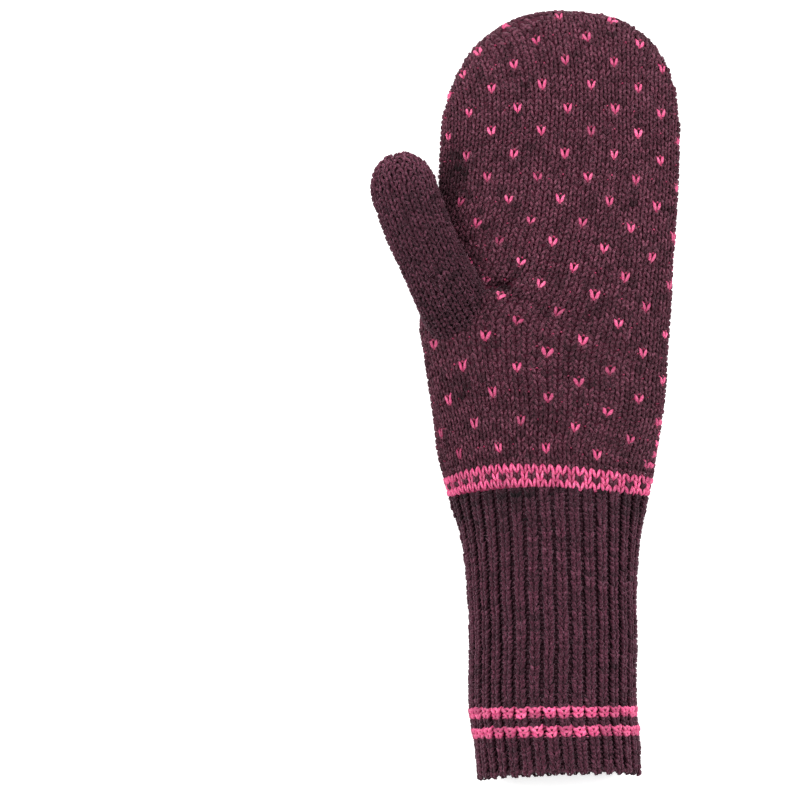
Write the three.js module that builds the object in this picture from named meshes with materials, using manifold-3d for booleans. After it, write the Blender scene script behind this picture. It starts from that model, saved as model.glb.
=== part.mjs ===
// A knitted left-hand mitten that lies on its back with the palm up, lightly filled out as if a hand
// were still in it. X runs across the palm, Y from the wrist to the fingertips, and Z up from the
// surface that it lies on. Lengths are in millimetres.
//
// The knitting is a tube in four pieces that meet face to face: a ribbed cuff, a patterned band at the
// wrist, the hand, and a thumb that stands on a slit in the palm. Every cross-section is two half
// curves that meet at the side edges: a crown over the palm, and a back that is pressed flat below.
import * as THREE from 'three';
import { mergeVertices } from 'three/addons/utils/BufferGeometryUtils.js';
import Module from 'manifold-3d';

// Hand
const HAND_LENGTH = 185.6;
const PALM_WIDTH = 93.6;
const PALM_CROWN = 17.5;
const BACK_DEPTH = 11.5;
const FINGERTIP_LENGTH = 52.6;

// Wrist: the seam between cuff and hand hangs lower at the side edges than in the middle
const WRIST_SAG = 3.9;
const BAND_HEIGHT = 8.3;

// Cuff
const CUFF_LENGTH = 113;
const CUFF_WIDTH = 65.7;
const CUFF_CROWN = 29;
const CUFF_DEPTH = 13.5;
const RIB_COUNT = 33;
const RIB_HEIGHT = 1.4;

// Thumb: its root is this far up from the wrist and this far in from the palm's thumb edge
const THUMB_ROOT_UP = 62.8;
const THUMB_ROOT_IN = 20.5;
const THUMB_LENGTH = 73;
const THUMB_LEAN = THREE.MathUtils.degToRad(23);
const THUMB_WIDTH = 30;
const THUMB_THICKNESS = 20;
const THUMB_TIP_LENGTH = 13;

// The slit in the palm reaches this share of the thumb's length up to the crotch
const THUMB_SLIT_END = 0.25;

// Knitting
const KNIT_WALL = 3;
const PRESSED_FLAT = 2.5;
const SEAM_GAP = 0.3;

// Roundness of the curves: 2 is an ellipse, and more is boxier. The fingertips' thickness follows this
// power of their width.
const FINGERTIP_ROUNDNESS = 2.2;
const BACK_ROUNDNESS = 2.5;
const FINGERTIP_THINNING = 0.75;

// How finely the surfaces are cut into facets: points round a ring, rings in a round end, and where
// the other rings lie, as shares of the stretch below that end. Rings lie closer near the folds.
const HAND_FACETS = 56;
const HAND_RINGS = [0, 0.05, 0.12, 0.19, 0.26, 0.34, 0.41, 0.47, 0.52, 0.56, 0.6, 0.65, 0.72, 0.8, 0.9];
const FINGERTIP_RINGS = 8;
const THUMB_FACETS = 28;
const THUMB_RINGS = [0, 0.07, 0.15, 0.22, 0.3, 0.4, 0.51, 0.63, 0.76, 0.89];
const THUMB_TIP_RINGS = 5;
const POINTS_PER_RIB = 4;
const CUFF_RINGS = [0, 0.04, 0.09, 0.15, 0.22, 0.31, 0.45, 0.6, 0.75, 0.88, 1];

const PLUM = 0x4d2b37;
const PINK = 0xe0568c;

// Hand outline and fullness, from the wrist (0) to the fingertips (1). thumbEdge and littleEdge are
// shares of PALM_WIDTH from the hand's middle line, crown of PALM_CROWN, depth of BACK_DEPTH, and sag
// of WRIST_SAG.
const HAND_SECTIONS = [
  { at: 0.000, thumbEdge: 0.463, littleEdge: 0.375, crown: 1.27, depth: 1.08, sag: 1.00 },
  { at: 0.045, thumbEdge: 0.487, littleEdge: 0.396, crown: 1.23, depth: 1.05, sag: 0.97 },
  { at: 0.100, thumbEdge: 0.512, littleEdge: 0.413, crown: 1.17, depth: 1.02, sag: 0.85 },
  { at: 0.160, thumbEdge: 0.527, littleEdge: 0.434, crown: 1.11, depth: 1.00, sag: 0.65 },
  { at: 0.220, thumbEdge: 0.546, littleEdge: 0.449, crown: 1.06, depth: 1.00, sag: 0.42 },
  { at: 0.285, thumbEdge: 0.566, littleEdge: 0.455, crown: 1.03, depth: 1.00, sag: 0.20 },
  { at: 0.340, thumbEdge: 0.582, littleEdge: 0.464, crown: 1.01, depth: 1.00, sag: 0.06 },
  { at: 0.390, thumbEdge: 0.564, littleEdge: 0.471, crown: 1.00, depth: 1.00, sag: 0.00 },
  { at: 0.455, thumbEdge: 0.535, littleEdge: 0.476, crown: 1.00, depth: 1.00, sag: 0.00 },
  { at: 0.520, thumbEdge: 0.516, littleEdge: 0.485, crown: 1.00, depth: 1.00, sag: 0.00 },
  { at: 0.610, thumbEdge: 0.505, littleEdge: 0.497, crown: 0.97, depth: 0.98, sag: 0.00 },
  { at: 0.700, thumbEdge: 0.498, littleEdge: 0.502, crown: 0.92, depth: 0.95, sag: 0.00 },
  { at: 1.000, thumbEdge: 0.480, littleEdge: 0.520, crown: 0.85, depth: 0.90, sag: 0.00 },
];

// How far the cuff has turned from the wrist's own section (1) into the ribbed tube's (0), from the
// wrist (0) to the lower end (1), and how far its middle line has moved towards the little finger, as
// a share of CUFF_WIDTH.
const CUFF_SECTIONS = [
  { at: 0.00, wrist: 1.00, drift: 0.000 },
  { at: 0.06, wrist: 0.76, drift: 0.004 },
  { at: 0.13, wrist: 0.46, drift: 0.006 },
  { at: 0.23, wrist: 0.22, drift: 0.008 },
  { at: 0.36, wrist: 0.05, drift: 0.012 },
  { at: 0.50, wrist: 0.00, drift: 0.020 },
  { at: 0.75, wrist: 0.00, drift: 0.018 },
  { at: 0.90, wrist: 0.00, drift: 0.045 },
  { at: 1.00, wrist: 0.00, drift: 0.060 },
];

// Thumb from the root inside the palm (0) to the tip (1). bow is the middle line's bend away from the
// palm as a share of THUMB_LENGTH, rise its height above the palm's side edge as a share of
// PALM_CROWN + THUMB_THICKNESS, width of THUMB_WIDTH and thick of THUMB_THICKNESS.
const THUMB_SECTIONS = [
  { at: 0.00, bow: 0.016, rise: 0.06, width: 0.92, thick: 1.00 },
  { at: 0.12, bow: 0.030, rise: 0.28, width: 0.93, thick: 1.02 },
  { at: 0.25, bow: 0.048, rise: 0.44, width: 0.89, thick: 1.04 },
  { at: 0.40, bow: 0.064, rise: 0.51, width: 0.85, thick: 1.02 },
  { at: 0.60, bow: 0.068, rise: 0.51, width: 0.87, thick: 1.00 },
  { at: 0.80, bow: 0.054, rise: 0.46, width: 0.87, thick: 0.97 },
  { at: 1.00, bow: 0.030, rise: 0.40, width: 0.86, thick: 0.92 },
];

// Dents and swells of the palm round the thumb's root. across and up are the start, as shares of
// PALM_WIDTH from the middle line and of HAND_LENGTH from the wrist. turn is the direction in degrees
// from +X. length and width are shares of PALM_WIDTH, and lift of PALM_CROWN, with dents below zero.
const PALM_FOLDS = [
  { name: 'root swell', across: -0.42, up: 0.350, turn: 200, length: 0.08, width: 0.20, lift: 0.16 },
  { name: 'crotch crease', across: -0.24, up: 0.425, turn: 8, length: 0.26, width: 0.060, lift: -0.11 },
  { name: 'lower crease', across: -0.26, up: 0.405, turn: -22, length: 0.22, width: 0.055, lift: -0.07 },
  { name: 'ridge between', across: -0.16, up: 0.412, turn: -7, length: 0.18, width: 0.050, lift: 0.05 },
];

const wasm = await Module();
wasm.setup();

// Value of one column of a table at any place, on a smooth curve through its rows.
function columnAt(table, column, at) {
  const last = table.length - 1;
  let row = 0;
  while (row < last - 1 && at > table[row + 1].at) row += 1;
  const slope = (i) => {
    const low = table[Math.max(i - 1, 0)];
    const high = table[Math.min(i + 1, last)];
    return (high[column] - low[column]) / (high.at - low.at);
  };
  const span = table[row + 1].at - table[row].at;
  const t = THREE.MathUtils.clamp((at - table[row].at) / span, 0, 1);
  const rise = table[row + 1][column] - table[row][column];
  const start = slope(row) * span;
  const end = slope(row + 1) * span;
  return table[row][column] + t * (start + t * (3 * rise - 2 * start - end + t * (start + end - 2 * rise)));
}

// Crown of a section, an ellipse from the thumb edge over the palm to the little-finger edge.
class CrownCurve extends THREE.Curve {
  constructor(section) {
    super();
    this.section = section;
  }

  getPoint(t, target = new THREE.Vector3()) {
    const { left, right, side, crown } = this.section;
    const turn = Math.PI * t;
    const x = (right + left) / 2 - ((right - left) / 2) * Math.cos(turn);
    return target.set(x, 0, side + crown * Math.sin(turn));
  }
}

// Back of a section, from the little-finger edge round underneath to the thumb edge. It would bulge
// below the surface that the mitten lies on, and is pressed flat there.
class BackCurve extends THREE.Curve {
  constructor(section) {
    super();
    this.section = section;
  }

  getPoint(t, target = new THREE.Vector3()) {
    const { left, right, side, depth, floor } = this.section;
    const power = 2 / BACK_ROUNDNESS;
    const across = Math.cos(Math.PI * t);
    const down = Math.sin(Math.PI * t);
    const x = (right + left) / 2 + ((right - left) / 2) * Math.sign(across) * Math.abs(across) ** power;
    const z = side - (depth + PRESSED_FLAT) * Math.max(down, 0) ** power;
    return target.set(x, 0, Math.max(z, floor));
  }
}

// One ring of points round a section, evenly spaced over the crown and evenly over the back.
function ringPoints(section, crownCount, backCount) {
  const crown = new CrownCurve(section).getSpacedPoints(crownCount).slice(0, crownCount);
  const back = new BackCurve(section).getSpacedPoints(backCount).slice(0, backCount);
  const middle = (section.left + section.right) / 2;
  const half = (section.right - section.left) / 2;
  return [...crown, ...back].map((point) => {
    const sag = section.sag * ((point.x - middle) / half) ** 2;
    return new THREE.Vector3(point.x, section.y - sag, point.z);
  });
}

// Hand section at a share of its length. inset moves the surface inwards: 0 is the outside of the
// knitting, KNIT_WALL its inside, and less than 0 lies outside it.
function handSection(at, inset) {
  const tipStart = 1 - FINGERTIP_LENGTH / HAND_LENGTH;
  const tip = Math.max(0, (at - tipStart) / (1 - tipStart));
  const narrowing = (1 - tip ** FINGERTIP_ROUNDNESS) ** (1 / FINGERTIP_ROUNDNESS);
  const thinning = narrowing ** FINGERTIP_THINNING;
  const side = BACK_DEPTH * columnAt(HAND_SECTIONS, 'depth', at);
  return {
    y: at * HAND_LENGTH - inset * tip,
    left: -PALM_WIDTH * columnAt(HAND_SECTIONS, 'thumbEdge', at) * narrowing + inset * narrowing,
    right: PALM_WIDTH * columnAt(HAND_SECTIONS, 'littleEdge', at) * narrowing - inset * narrowing,
    side,
    crown: (PALM_CROWN * columnAt(HAND_SECTIONS, 'crown', at) - inset) * thinning,
    depth: (side - inset) * thinning,
    floor: inset,
    sag: WRIST_SAG * columnAt(HAND_SECTIONS, 'sag', at),
  };
}

// Cuff section at a share of its length below the wrist.
function cuffSection(at, inset) {
  const wrist = handSection(0, inset);
  const blend = columnAt(CUFF_SECTIONS, 'wrist', at);
  const middle = (wrist.left + wrist.right) / 2 + CUFF_WIDTH * columnAt(CUFF_SECTIONS, 'drift', at);
  const half = THREE.MathUtils.lerp(CUFF_WIDTH / 2 - inset, (wrist.right - wrist.left) / 2, blend);
  const side = THREE.MathUtils.lerp(CUFF_DEPTH, wrist.side, blend);
  return {
    y: -at * CUFF_LENGTH,
    left: middle - half,
    right: middle + half,
    side,
    crown: THREE.MathUtils.lerp(CUFF_CROWN - inset, wrist.crown, blend),
    depth: side - inset,
    floor: inset,
    sag: wrist.sag * blend,
  };
}

// Height that the folds of the palm add at a place on it.
function foldLift(x, y) {
  return PALM_FOLDS.reduce((sum, fold) => {
    const turn = THREE.MathUtils.degToRad(fold.turn);
    const dx = x - fold.across * PALM_WIDTH;
    const dy = y - fold.up * HAND_LENGTH;
    const along = dx * Math.cos(turn) + dy * Math.sin(turn);
    const aside = dy * Math.cos(turn) - dx * Math.sin(turn);
    const length = fold.length * PALM_WIDTH;
    const past = along - THREE.MathUtils.clamp(along, 0, length);
    const spread = (past ** 2 + aside ** 2) / (fold.width * PALM_WIDTH) ** 2;
    return sum + fold.lift * PALM_CROWN * Math.exp(-spread);
  }, 0);
}

// Shares of a length where the rings lie, from one share up to its round end and over that.
function ringStations(from, tipStart, shares, tipCount, roundness) {
  const lower = shares.map((share) => THREE.MathUtils.lerp(from, tipStart, share));
  const tip = Array.from({ length: tipCount }, (_, i) => {
    const turn = (Math.PI / 2) * (i / tipCount);
    return THREE.MathUtils.lerp(tipStart, 1, Math.sin(turn) ** (2 / roundness));
  });
  return [...lower, ...tip];
}

// Rings of the hand between a share of its length and the fingertips, ending in one point. Its inside
// has every second ring.
function handRings(from, inset) {
  const tipStart = 1 - FINGERTIP_LENGTH / HAND_LENGTH;
  const stations = ringStations(from, tipStart, HAND_RINGS, FINGERTIP_RINGS, FINGERTIP_ROUNDNESS);
  const rings = stations.filter((_, i) => inset <= 0 || i % 2 === 0).map((at) => {
    const section = handSection(at, inset);
    return ringPoints(section, HAND_FACETS / 2, HAND_FACETS / 2).map((point) => {
      const overPalm = Math.max(0, (point.z - section.side) / section.crown);
      point.z += foldLift(point.x, point.y) * overPalm;
      return point;
    });
  });
  const end = handSection(1, inset);
  return [...rings, [new THREE.Vector3((end.left + end.right) / 2, end.y, end.side)]];
}

// Triangles between neighbouring rings, where a ring of one point is a pole. A looped loft joins its
// last ring back to its first.
function loftGeometry(rings, looped) {
  const points = rings.flat();
  const starts = [];
  rings.reduce((sum, ring) => {
    starts.push(sum);
    return sum + ring.length;
  }, 0);
  const index = [];
  const pairs = looped ? rings.length : rings.length - 1;
  for (let r = 0; r < pairs; r += 1) {
    const next = (r + 1) % rings.length;
    const count = Math.max(rings[r].length, rings[next].length);
    for (let i = 0; i < count; i += 1) {
      const j = (i + 1) % count;
      const a = starts[r] + (i % rings[r].length);
      const b = starts[r] + (j % rings[r].length);
      const c = starts[next] + (i % rings[next].length);
      const d = starts[next] + (j % rings[next].length);
      if (a !== b) index.push(a, b, c);
      if (c !== d) index.push(b, d, c);
    }
  }
  const geometry = new THREE.BufferGeometry().setFromPoints(points);
  geometry.setIndex(index);
  return geometry;
}

// Middle of a ring, used as the pole that closes a cut end.
function ringMiddle(ring) {
  const middle = ring.reduce((sum, point) => sum.add(point), new THREE.Vector3());
  return [middle.divideScalar(ring.length)];
}

// Thumb section at a share of its length: its middle, its sideways and upward directions and its size.
function thumbFrame(at) {
  const rootAt = THUMB_ROOT_UP / HAND_LENGTH;
  const edge = handSection(rootAt, 0);
  const out = new THREE.Vector3(-Math.sin(THUMB_LEAN), Math.cos(THUMB_LEAN), 0);
  const away = new THREE.Vector3(-Math.cos(THUMB_LEAN), -Math.sin(THUMB_LEAN), 0);
  const middleAt = (share) => {
    const middle = new THREE.Vector3(edge.left + THUMB_ROOT_IN, THUMB_ROOT_UP, edge.side);
    middle.addScaledVector(out, share * THUMB_LENGTH);
    middle.addScaledVector(away, columnAt(THUMB_SECTIONS, 'bow', share) * THUMB_LENGTH);
    middle.z += columnAt(THUMB_SECTIONS, 'rise', share) * (PALM_CROWN + THUMB_THICKNESS);
    return middle;
  };
  const step = 0.01;
  const ahead = middleAt(Math.min(at + step, 1)).sub(middleAt(Math.max(at - step, 0))).normalize();
  const across = new THREE.Vector3().crossVectors(ahead, new THREE.Vector3(0, 0, 1)).normalize();
  const up = new THREE.Vector3().crossVectors(across, ahead);
  return { middle: middleAt(at), ahead, across, up };
}

// Rings of the thumb from its root, closed there by a flat end. They run over the round tip, or stop
// with another flat end where the slit in the palm ends.
function thumbRings(inset, upToSlitEnd) {
  const tipStart = 1 - THUMB_TIP_LENGTH / THUMB_LENGTH;
  const whole = ringStations(0, tipStart, THUMB_RINGS, THUMB_TIP_RINGS, 2);
  const stations = upToSlitEnd ? [...whole.filter((at) => at < THUMB_SLIT_END), THUMB_SLIT_END] : whole;
  const rings = stations.map((at) => {
    const { middle, ahead, across, up } = thumbFrame(at);
    const reach = Math.max(0, (at - tipStart) / (1 - tipStart));
    const narrowing = Math.sqrt(1 - reach ** 2);
    const half = (THUMB_WIDTH * columnAt(THUMB_SECTIONS, 'width', at) / 2 - inset) * narrowing;
    const rise = (THUMB_THICKNESS * columnAt(THUMB_SECTIONS, 'thick', at) / 2 - inset) * narrowing;
    return Array.from({ length: THUMB_FACETS }, (_, i) => {
      const turn = Math.PI - (2 * Math.PI * i) / THUMB_FACETS;
      return middle.clone()
        .addScaledVector(ahead, -inset * reach)
        .addScaledVector(across, half * Math.cos(turn))
        .addScaledVector(up, rise * Math.sin(turn));
    });
  });
  const end = thumbFrame(1);
  const pole = upToSlitEnd ? ringMiddle(rings.at(-1)) : [end.middle.addScaledVector(end.ahead, -inset)];
  return [ringMiddle(rings[0]), ...rings, pole];
}

// Closed solid of a geometry, for joining and cutting.
function solidOf(geometry) {
  const merged = mergeVertices(geometry, 1e-4);
  return new wasm.Manifold(new wasm.Mesh({
    numProp: 3,
    vertProperties: new Float32Array(merged.attributes.position.array),
    triVerts: new Uint32Array(merged.index.array),
  }));
}

// Geometry of a solid after joining and cutting.
function geometryOf(solid) {
  const mesh = solid.getMesh();
  const geometry = new THREE.BufferGeometry();
  geometry.setAttribute('position', new THREE.BufferAttribute(mesh.vertProperties, 3));
  geometry.setIndex(new THREE.BufferAttribute(mesh.triVerts, 1));
  return geometry;
}

function yarnMesh(name, geometry, color) {
  geometry.computeVertexNormals();
  const material = new THREE.MeshStandardMaterial({ color, roughness: 0.95, metalness: 0 });
  const mesh = new THREE.Mesh(geometry, material);
  mesh.name = name;
  return mesh;
}

// Solid block of the hand, without its hollow, between a share of its length and the fingertips.
function handSolid(from, inset) {
  const rings = handRings(from, inset);
  return solidOf(loftGeometry([ringMiddle(rings[0]), ...rings], false));
}

function thumbSolid(inset, upToSlitEnd) {
  return solidOf(loftGeometry(thumbRings(inset, upToSlitEnd), false));
}

// The hand is a wall round its hollow, open at the wrist band, with the slit under the thumb's root.
function makeHand() {
  const bandTop = BAND_HEIGHT / HAND_LENGTH;
  const outside = handRings(bandTop + SEAM_GAP / HAND_LENGTH, 0);
  const inside = handRings(bandTop + SEAM_GAP / HAND_LENGTH, KNIT_WALL);
  const wall = solidOf(loftGeometry([...inside.reverse(), ...outside], false));
  return yarnMesh('hand', geometryOf(wall.subtract(thumbSolid(KNIT_WALL, true))), PLUM);
}

// The thumb's own wall, cut where it stands on the palm. Its hollow runs on into the hand through the
// slit, and past the crotch its underside lies on the palm with its wall whole.
function makeThumb() {
  const palm = handSolid(0, -SEAM_GAP);
  const palmAndWall = handSolid(0, -SEAM_GAP - KNIT_WALL);
  const hollow = thumbSolid(KNIT_WALL, false).subtract(palmAndWall).add(thumbSolid(KNIT_WALL, true));
  return yarnMesh('thumb', geometryOf(thumbSolid(0, false).subtract(palm).subtract(hollow)), PLUM);
}

// A closed band of the hand's wall between two shares of its length.
function makeWristBand() {
  const shares = [0, 0.5, 1].map((share) => share * (BAND_HEIGHT / HAND_LENGTH));
  const ringsAt = (inset) => shares.map((at) => {
    return ringPoints(handSection(at, inset), HAND_FACETS / 2, HAND_FACETS / 2);
  });
  return yarnMesh('wrist_band', loftGeometry([...ringsAt(KNIT_WALL).reverse(), ...ringsAt(0)], true), PINK);
}

// The cuff's ribs stand up from its outside, spaced evenly round it and running its whole length.
function makeCuff() {
  const crownCount = Math.ceil(RIB_COUNT / 2) * POINTS_PER_RIB;
  const backCount = Math.floor(RIB_COUNT / 2) * POINTS_PER_RIB;
  const from = SEAM_GAP / CUFF_LENGTH;
  const ringAt = (at, inset, ribHeight) => {
    const section = cuffSection(from + at * (1 - from), inset);
    const base = ringPoints(section, crownCount, backCount);
    const lowered = ringPoints({
      ...section,
      left: section.left + ribHeight,
      right: section.right - ribHeight,
      crown: section.crown - ribHeight,
      depth: section.depth - ribHeight,
      floor: section.floor + ribHeight,
    }, crownCount, backCount);
    return base.map((point, i) => (i % POINTS_PER_RIB < POINTS_PER_RIB / 2 ? point : lowered[i]));
  };
  const outside = CUFF_RINGS.map((at) => ringAt(at, 0, RIB_HEIGHT));
  const inside = CUFF_RINGS.filter((_, i) => i % 2 === 0).map((at) => ringAt(at, KNIT_WALL, 0));
  return yarnMesh('cuff', loftGeometry([...outside.reverse(), ...inside], true), PLUM);
}

const mitten = new THREE.Group();
mitten.add(makeCuff(), makeWristBand(), makeHand(), makeThumb());

// The origin is the middle of the underside of the whole mitten's box.
const box = new THREE.Box3().setFromObject(mitten);
const centre = box.getCenter(new THREE.Vector3());
mitten.position.set(-centre.x, -centre.y, -box.min.z);

export default mitten;
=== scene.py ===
# %% [markdown]
# # A knitted mitten, stitch by stitch
# The real object is a left-hand wool mitten that lies on its back with the palm up. It has a ribbed cuff,
# a small patterned band at the wrist, a hand with pink flecks, and a plain thumb. A smooth model with a
# knit picture on it would look printed, so every stitch here is a small mesh of its own: two legs of yarn
# that meet in a V. This script works out where each stitch lies, and Geometry Nodes put the yarn there.

import math
from types import SimpleNamespace

import bpy
import numpy as np
from mathutils import Matrix, Vector


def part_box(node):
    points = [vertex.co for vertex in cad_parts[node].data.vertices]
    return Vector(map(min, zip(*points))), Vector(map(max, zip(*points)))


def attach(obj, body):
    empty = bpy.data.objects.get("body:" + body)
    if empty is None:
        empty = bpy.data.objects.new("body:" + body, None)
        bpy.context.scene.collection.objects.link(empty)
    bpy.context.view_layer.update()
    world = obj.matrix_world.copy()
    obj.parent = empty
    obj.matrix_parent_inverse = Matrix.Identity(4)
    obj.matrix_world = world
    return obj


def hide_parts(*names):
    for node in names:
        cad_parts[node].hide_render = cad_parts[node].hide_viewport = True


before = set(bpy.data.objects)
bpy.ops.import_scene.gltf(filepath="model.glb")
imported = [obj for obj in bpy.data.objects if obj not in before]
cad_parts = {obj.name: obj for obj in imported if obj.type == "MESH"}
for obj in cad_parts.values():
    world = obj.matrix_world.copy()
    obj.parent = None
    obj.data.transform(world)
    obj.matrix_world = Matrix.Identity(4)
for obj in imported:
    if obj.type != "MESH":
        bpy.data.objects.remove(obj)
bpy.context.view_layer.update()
print("nodes in the frame:", sorted(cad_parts))

# %% [markdown]
# ## The mitten's sizes
# All lengths are in millimetres until a mesh is made. X runs across the palm, Y from the wrist to the
# fingertips and Z up from the floor. The sizes are those of the plain model in the frame, so the stitches
# lie on its surface without any fitting.

# %% Sizes of hand, cuff and thumb
MM = 0.001

HAND_LENGTH = 185.6
PALM_WIDTH = 93.6
PALM_CROWN = 17.5
BACK_DEPTH = 11.5
FINGERTIP_LENGTH = 52.6
FINGERTIP_ROUNDNESS = 2.2
LITTLE_SIDE_ROUNDNESS = 2.55
FINGERTIP_THINNING = 0.75
BACK_ROUNDNESS = 2.5
PRESSED_FLAT = 2.5

WRIST_SAG = 3.9
BAND_HEIGHT = 8.3
CUFF_LENGTH = 113.0
CUFF_WIDTH = 65.7
CUFF_CROWN = 29.0
CUFF_DEPTH = 13.5
CUFF_END_TUCK = 0.9
CUFF_TUCK_START = 0.75
RIB_COUNT = 33
RIB_HEIGHT = 1.4

THUMB_ROOT_UP = 62.8
THUMB_ROOT_IN = 20.5
THUMB_LENGTH = 73.0
THUMB_LEAN = math.radians(23)
THUMB_WIDTH = 30.0
THUMB_THICKNESS = 20.0
THUMB_TIP_LENGTH = 15.0

KNIT_WALL = 3.0
SEAM_GAP = 0.3

# %% [markdown]
# ## Tables with named columns
# A mitten changes its section all the way up, so a few rows of shares say how wide, how full and how far
# sagging it is, and a smooth curve through the rows gives every place between them. NumPy's structured
# arrays keep the column names with the numbers.

# %% Tables of sections and folds


def table(columns, rows):
    return np.array(rows, dtype=[(name, float) for name in columns.split()])


HAND_SECTIONS = table(
    "at thumb_edge little_edge crown depth sag",
    [
        (0.000, 0.463, 0.375, 1.27, 1.08, 1.00),
        (0.045, 0.487, 0.396, 1.23, 1.05, 0.97),
        (0.100, 0.512, 0.413, 1.17, 1.02, 0.85),
        (0.160, 0.527, 0.434, 1.11, 1.00, 0.65),
        (0.220, 0.546, 0.449, 1.06, 1.00, 0.42),
        (0.285, 0.566, 0.455, 1.03, 1.00, 0.20),
        (0.340, 0.582, 0.464, 1.01, 1.00, 0.06),
        (0.390, 0.564, 0.471, 1.00, 1.00, 0.00),
        (0.455, 0.535, 0.476, 1.00, 1.00, 0.00),
        (0.520, 0.516, 0.485, 1.00, 1.00, 0.00),
        (0.610, 0.505, 0.497, 0.97, 0.98, 0.00),
        (0.700, 0.498, 0.502, 0.92, 0.95, 0.00),
        (1.000, 0.480, 0.520, 0.85, 0.90, 0.00),
    ],
)
CUFF_SECTIONS = table(
    "at wrist drift",
    [
        (0.00, 1.00, 0.000),
        (0.06, 0.76, 0.004),
        (0.13, 0.46, 0.010),
        (0.23, 0.22, 0.015),
        (0.36, 0.05, 0.019),
        (0.50, 0.00, 0.027),
        (0.75, 0.00, 0.025),
        (0.90, 0.00, 0.052),
        (1.00, 0.00, 0.064),
    ],
)
THUMB_SECTIONS = table(
    "at bow rise width thick",
    [
        (0.00, 0.030, 0.06, 0.92, 1.00),
        (0.12, 0.045, 0.28, 0.93, 1.02),
        (0.25, 0.056, 0.44, 0.89, 1.04),
        (0.40, 0.064, 0.51, 0.85, 1.02),
        (0.60, 0.068, 0.51, 0.87, 1.00),
        (0.80, 0.052, 0.46, 0.87, 0.97),
        (1.00, 0.020, 0.40, 0.86, 0.92),
    ],
)
PALM_FOLDS = table(
    "across up turn length width lift",
    [
        (-0.42, 0.350, 200, 0.08, 0.200, 0.16),
        (-0.24, 0.425, 8, 0.26, 0.060, -0.11),
        (-0.26, 0.405, -22, 0.22, 0.055, -0.07),
        (-0.16, 0.412, -7, 0.18, 0.050, 0.05),
        (-0.295, 0.4170, 2, 0.075, 0.032, -0.40),
        (-0.300, 0.3970, 12, 0.170, 0.030, 0.16),
        (-0.430, 0.6600, 90, 0.060, 0.090, -0.20),
    ],
)


def column_at(rows, column, at):
    """Value of one column at any place, on a smooth curve through the table's rows."""
    places, values = rows["at"], rows[column]
    slopes = np.gradient(values)
    slopes[1:-1] = (values[2:] - values[:-2]) / (places[2:] - places[:-2])
    slopes[0] = (values[1] - values[0]) / (places[1] - places[0])
    slopes[-1] = (values[-1] - values[-2]) / (places[-1] - places[-2])
    row = np.clip(np.searchsorted(places, at, side="right") - 1, 0, len(places) - 2)
    span = places[row + 1] - places[row]
    t = np.clip((at - places[row]) / span, 0, 1)
    rise = values[row + 1] - values[row]
    start, end = slopes[row] * span, slopes[row + 1] * span
    return values[row] + t * (start + t * (3 * rise - 2 * start - end + t * (start + end - 2 * rise)))


def ramp(value, start, end):
    """Share of the way from start to end, 0 before it and 1 past it."""
    return np.clip((value - start) / (end - start), 0, 1)


print("palm width at the thumb's root:", round(float(column_at(HAND_SECTIONS, "thumb_edge", 0.34)), 3))

# %% [markdown]
# ## Sections of the hand and the cuff
# Each section is two half curves that meet at the side edges: a crown over the palm, and a back that is
# pressed flat by the mitten's own weight. `inset` moves the surface into the fabric: the stitches lie a
# little inside the outer surface, and the dark fabric behind them lies deeper.

# %% Section functions
TIP_START = 1 - FINGERTIP_LENGTH / HAND_LENGTH


def hand_section(at, inset=0.0):
    at = np.clip(np.asarray(at, float), 0, 1)
    tip = np.maximum(0, (at - TIP_START) / (1 - TIP_START))
    narrowing, little_narrowing = (
        np.maximum(1 - tip**roundness, 1e-6) ** (1 / roundness)
        for roundness in (FINGERTIP_ROUNDNESS, LITTLE_SIDE_ROUNDNESS)
    )
    thinning = narrowing**FINGERTIP_THINNING
    side = BACK_DEPTH * column_at(HAND_SECTIONS, "depth", at)
    left = (inset - PALM_WIDTH * column_at(HAND_SECTIONS, "thumb_edge", at)) * narrowing
    right = (PALM_WIDTH * column_at(HAND_SECTIONS, "little_edge", at) - inset) * little_narrowing
    return SimpleNamespace(
        y=at * HAND_LENGTH - inset * tip,
        middle=(left + right) / 2,
        half=(right - left) / 2,
        side=side,
        crown=(PALM_CROWN * column_at(HAND_SECTIONS, "crown", at) - inset) * thinning,
        depth=(side - inset) * thinning,
        floor=inset,
        sag=WRIST_SAG * column_at(HAND_SECTIONS, "sag", at),
    )


def cuff_section(at, inset=0.0):
    at = np.asarray(at, float)
    wrist = hand_section(0 * at, inset)
    blend = column_at(CUFF_SECTIONS, "wrist", at)
    half = CUFF_WIDTH / 2 - CUFF_END_TUCK * ramp(at, CUFF_TUCK_START, 1) - inset
    side = CUFF_DEPTH + (wrist.side - CUFF_DEPTH) * blend
    crown = CUFF_CROWN - inset
    return SimpleNamespace(
        y=-at * CUFF_LENGTH,
        middle=wrist.middle + CUFF_WIDTH * column_at(CUFF_SECTIONS, "drift", at),
        half=half + (wrist.half - half) * blend,
        side=side,
        crown=crown + (wrist.crown - crown) * blend,
        depth=side - inset,
        floor=inset,
        sag=wrist.sag * blend,
    )


def crown_point(section, turn):
    """Place on the palm side: turn 0 is the thumb edge, pi the little-finger edge."""
    across = -np.cos(turn)
    x = section.middle + section.half * across
    return x, section.y - section.sag * across**2, section.side + section.crown * np.sin(turn)


def back_point(section, turn):
    """Place on the back: turn 0 is the little-finger edge, pi the thumb edge."""
    power = 2 / BACK_ROUNDNESS
    across, down = np.cos(turn), np.sin(turn)
    across = np.sign(across) * np.abs(across) ** power
    down = np.sign(down) * np.abs(down) ** power
    x = section.middle + section.half * across
    z = np.maximum(section.side - (section.depth + PRESSED_FLAT) * down, section.floor)
    return x, section.y - section.sag * across**2, z


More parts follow.
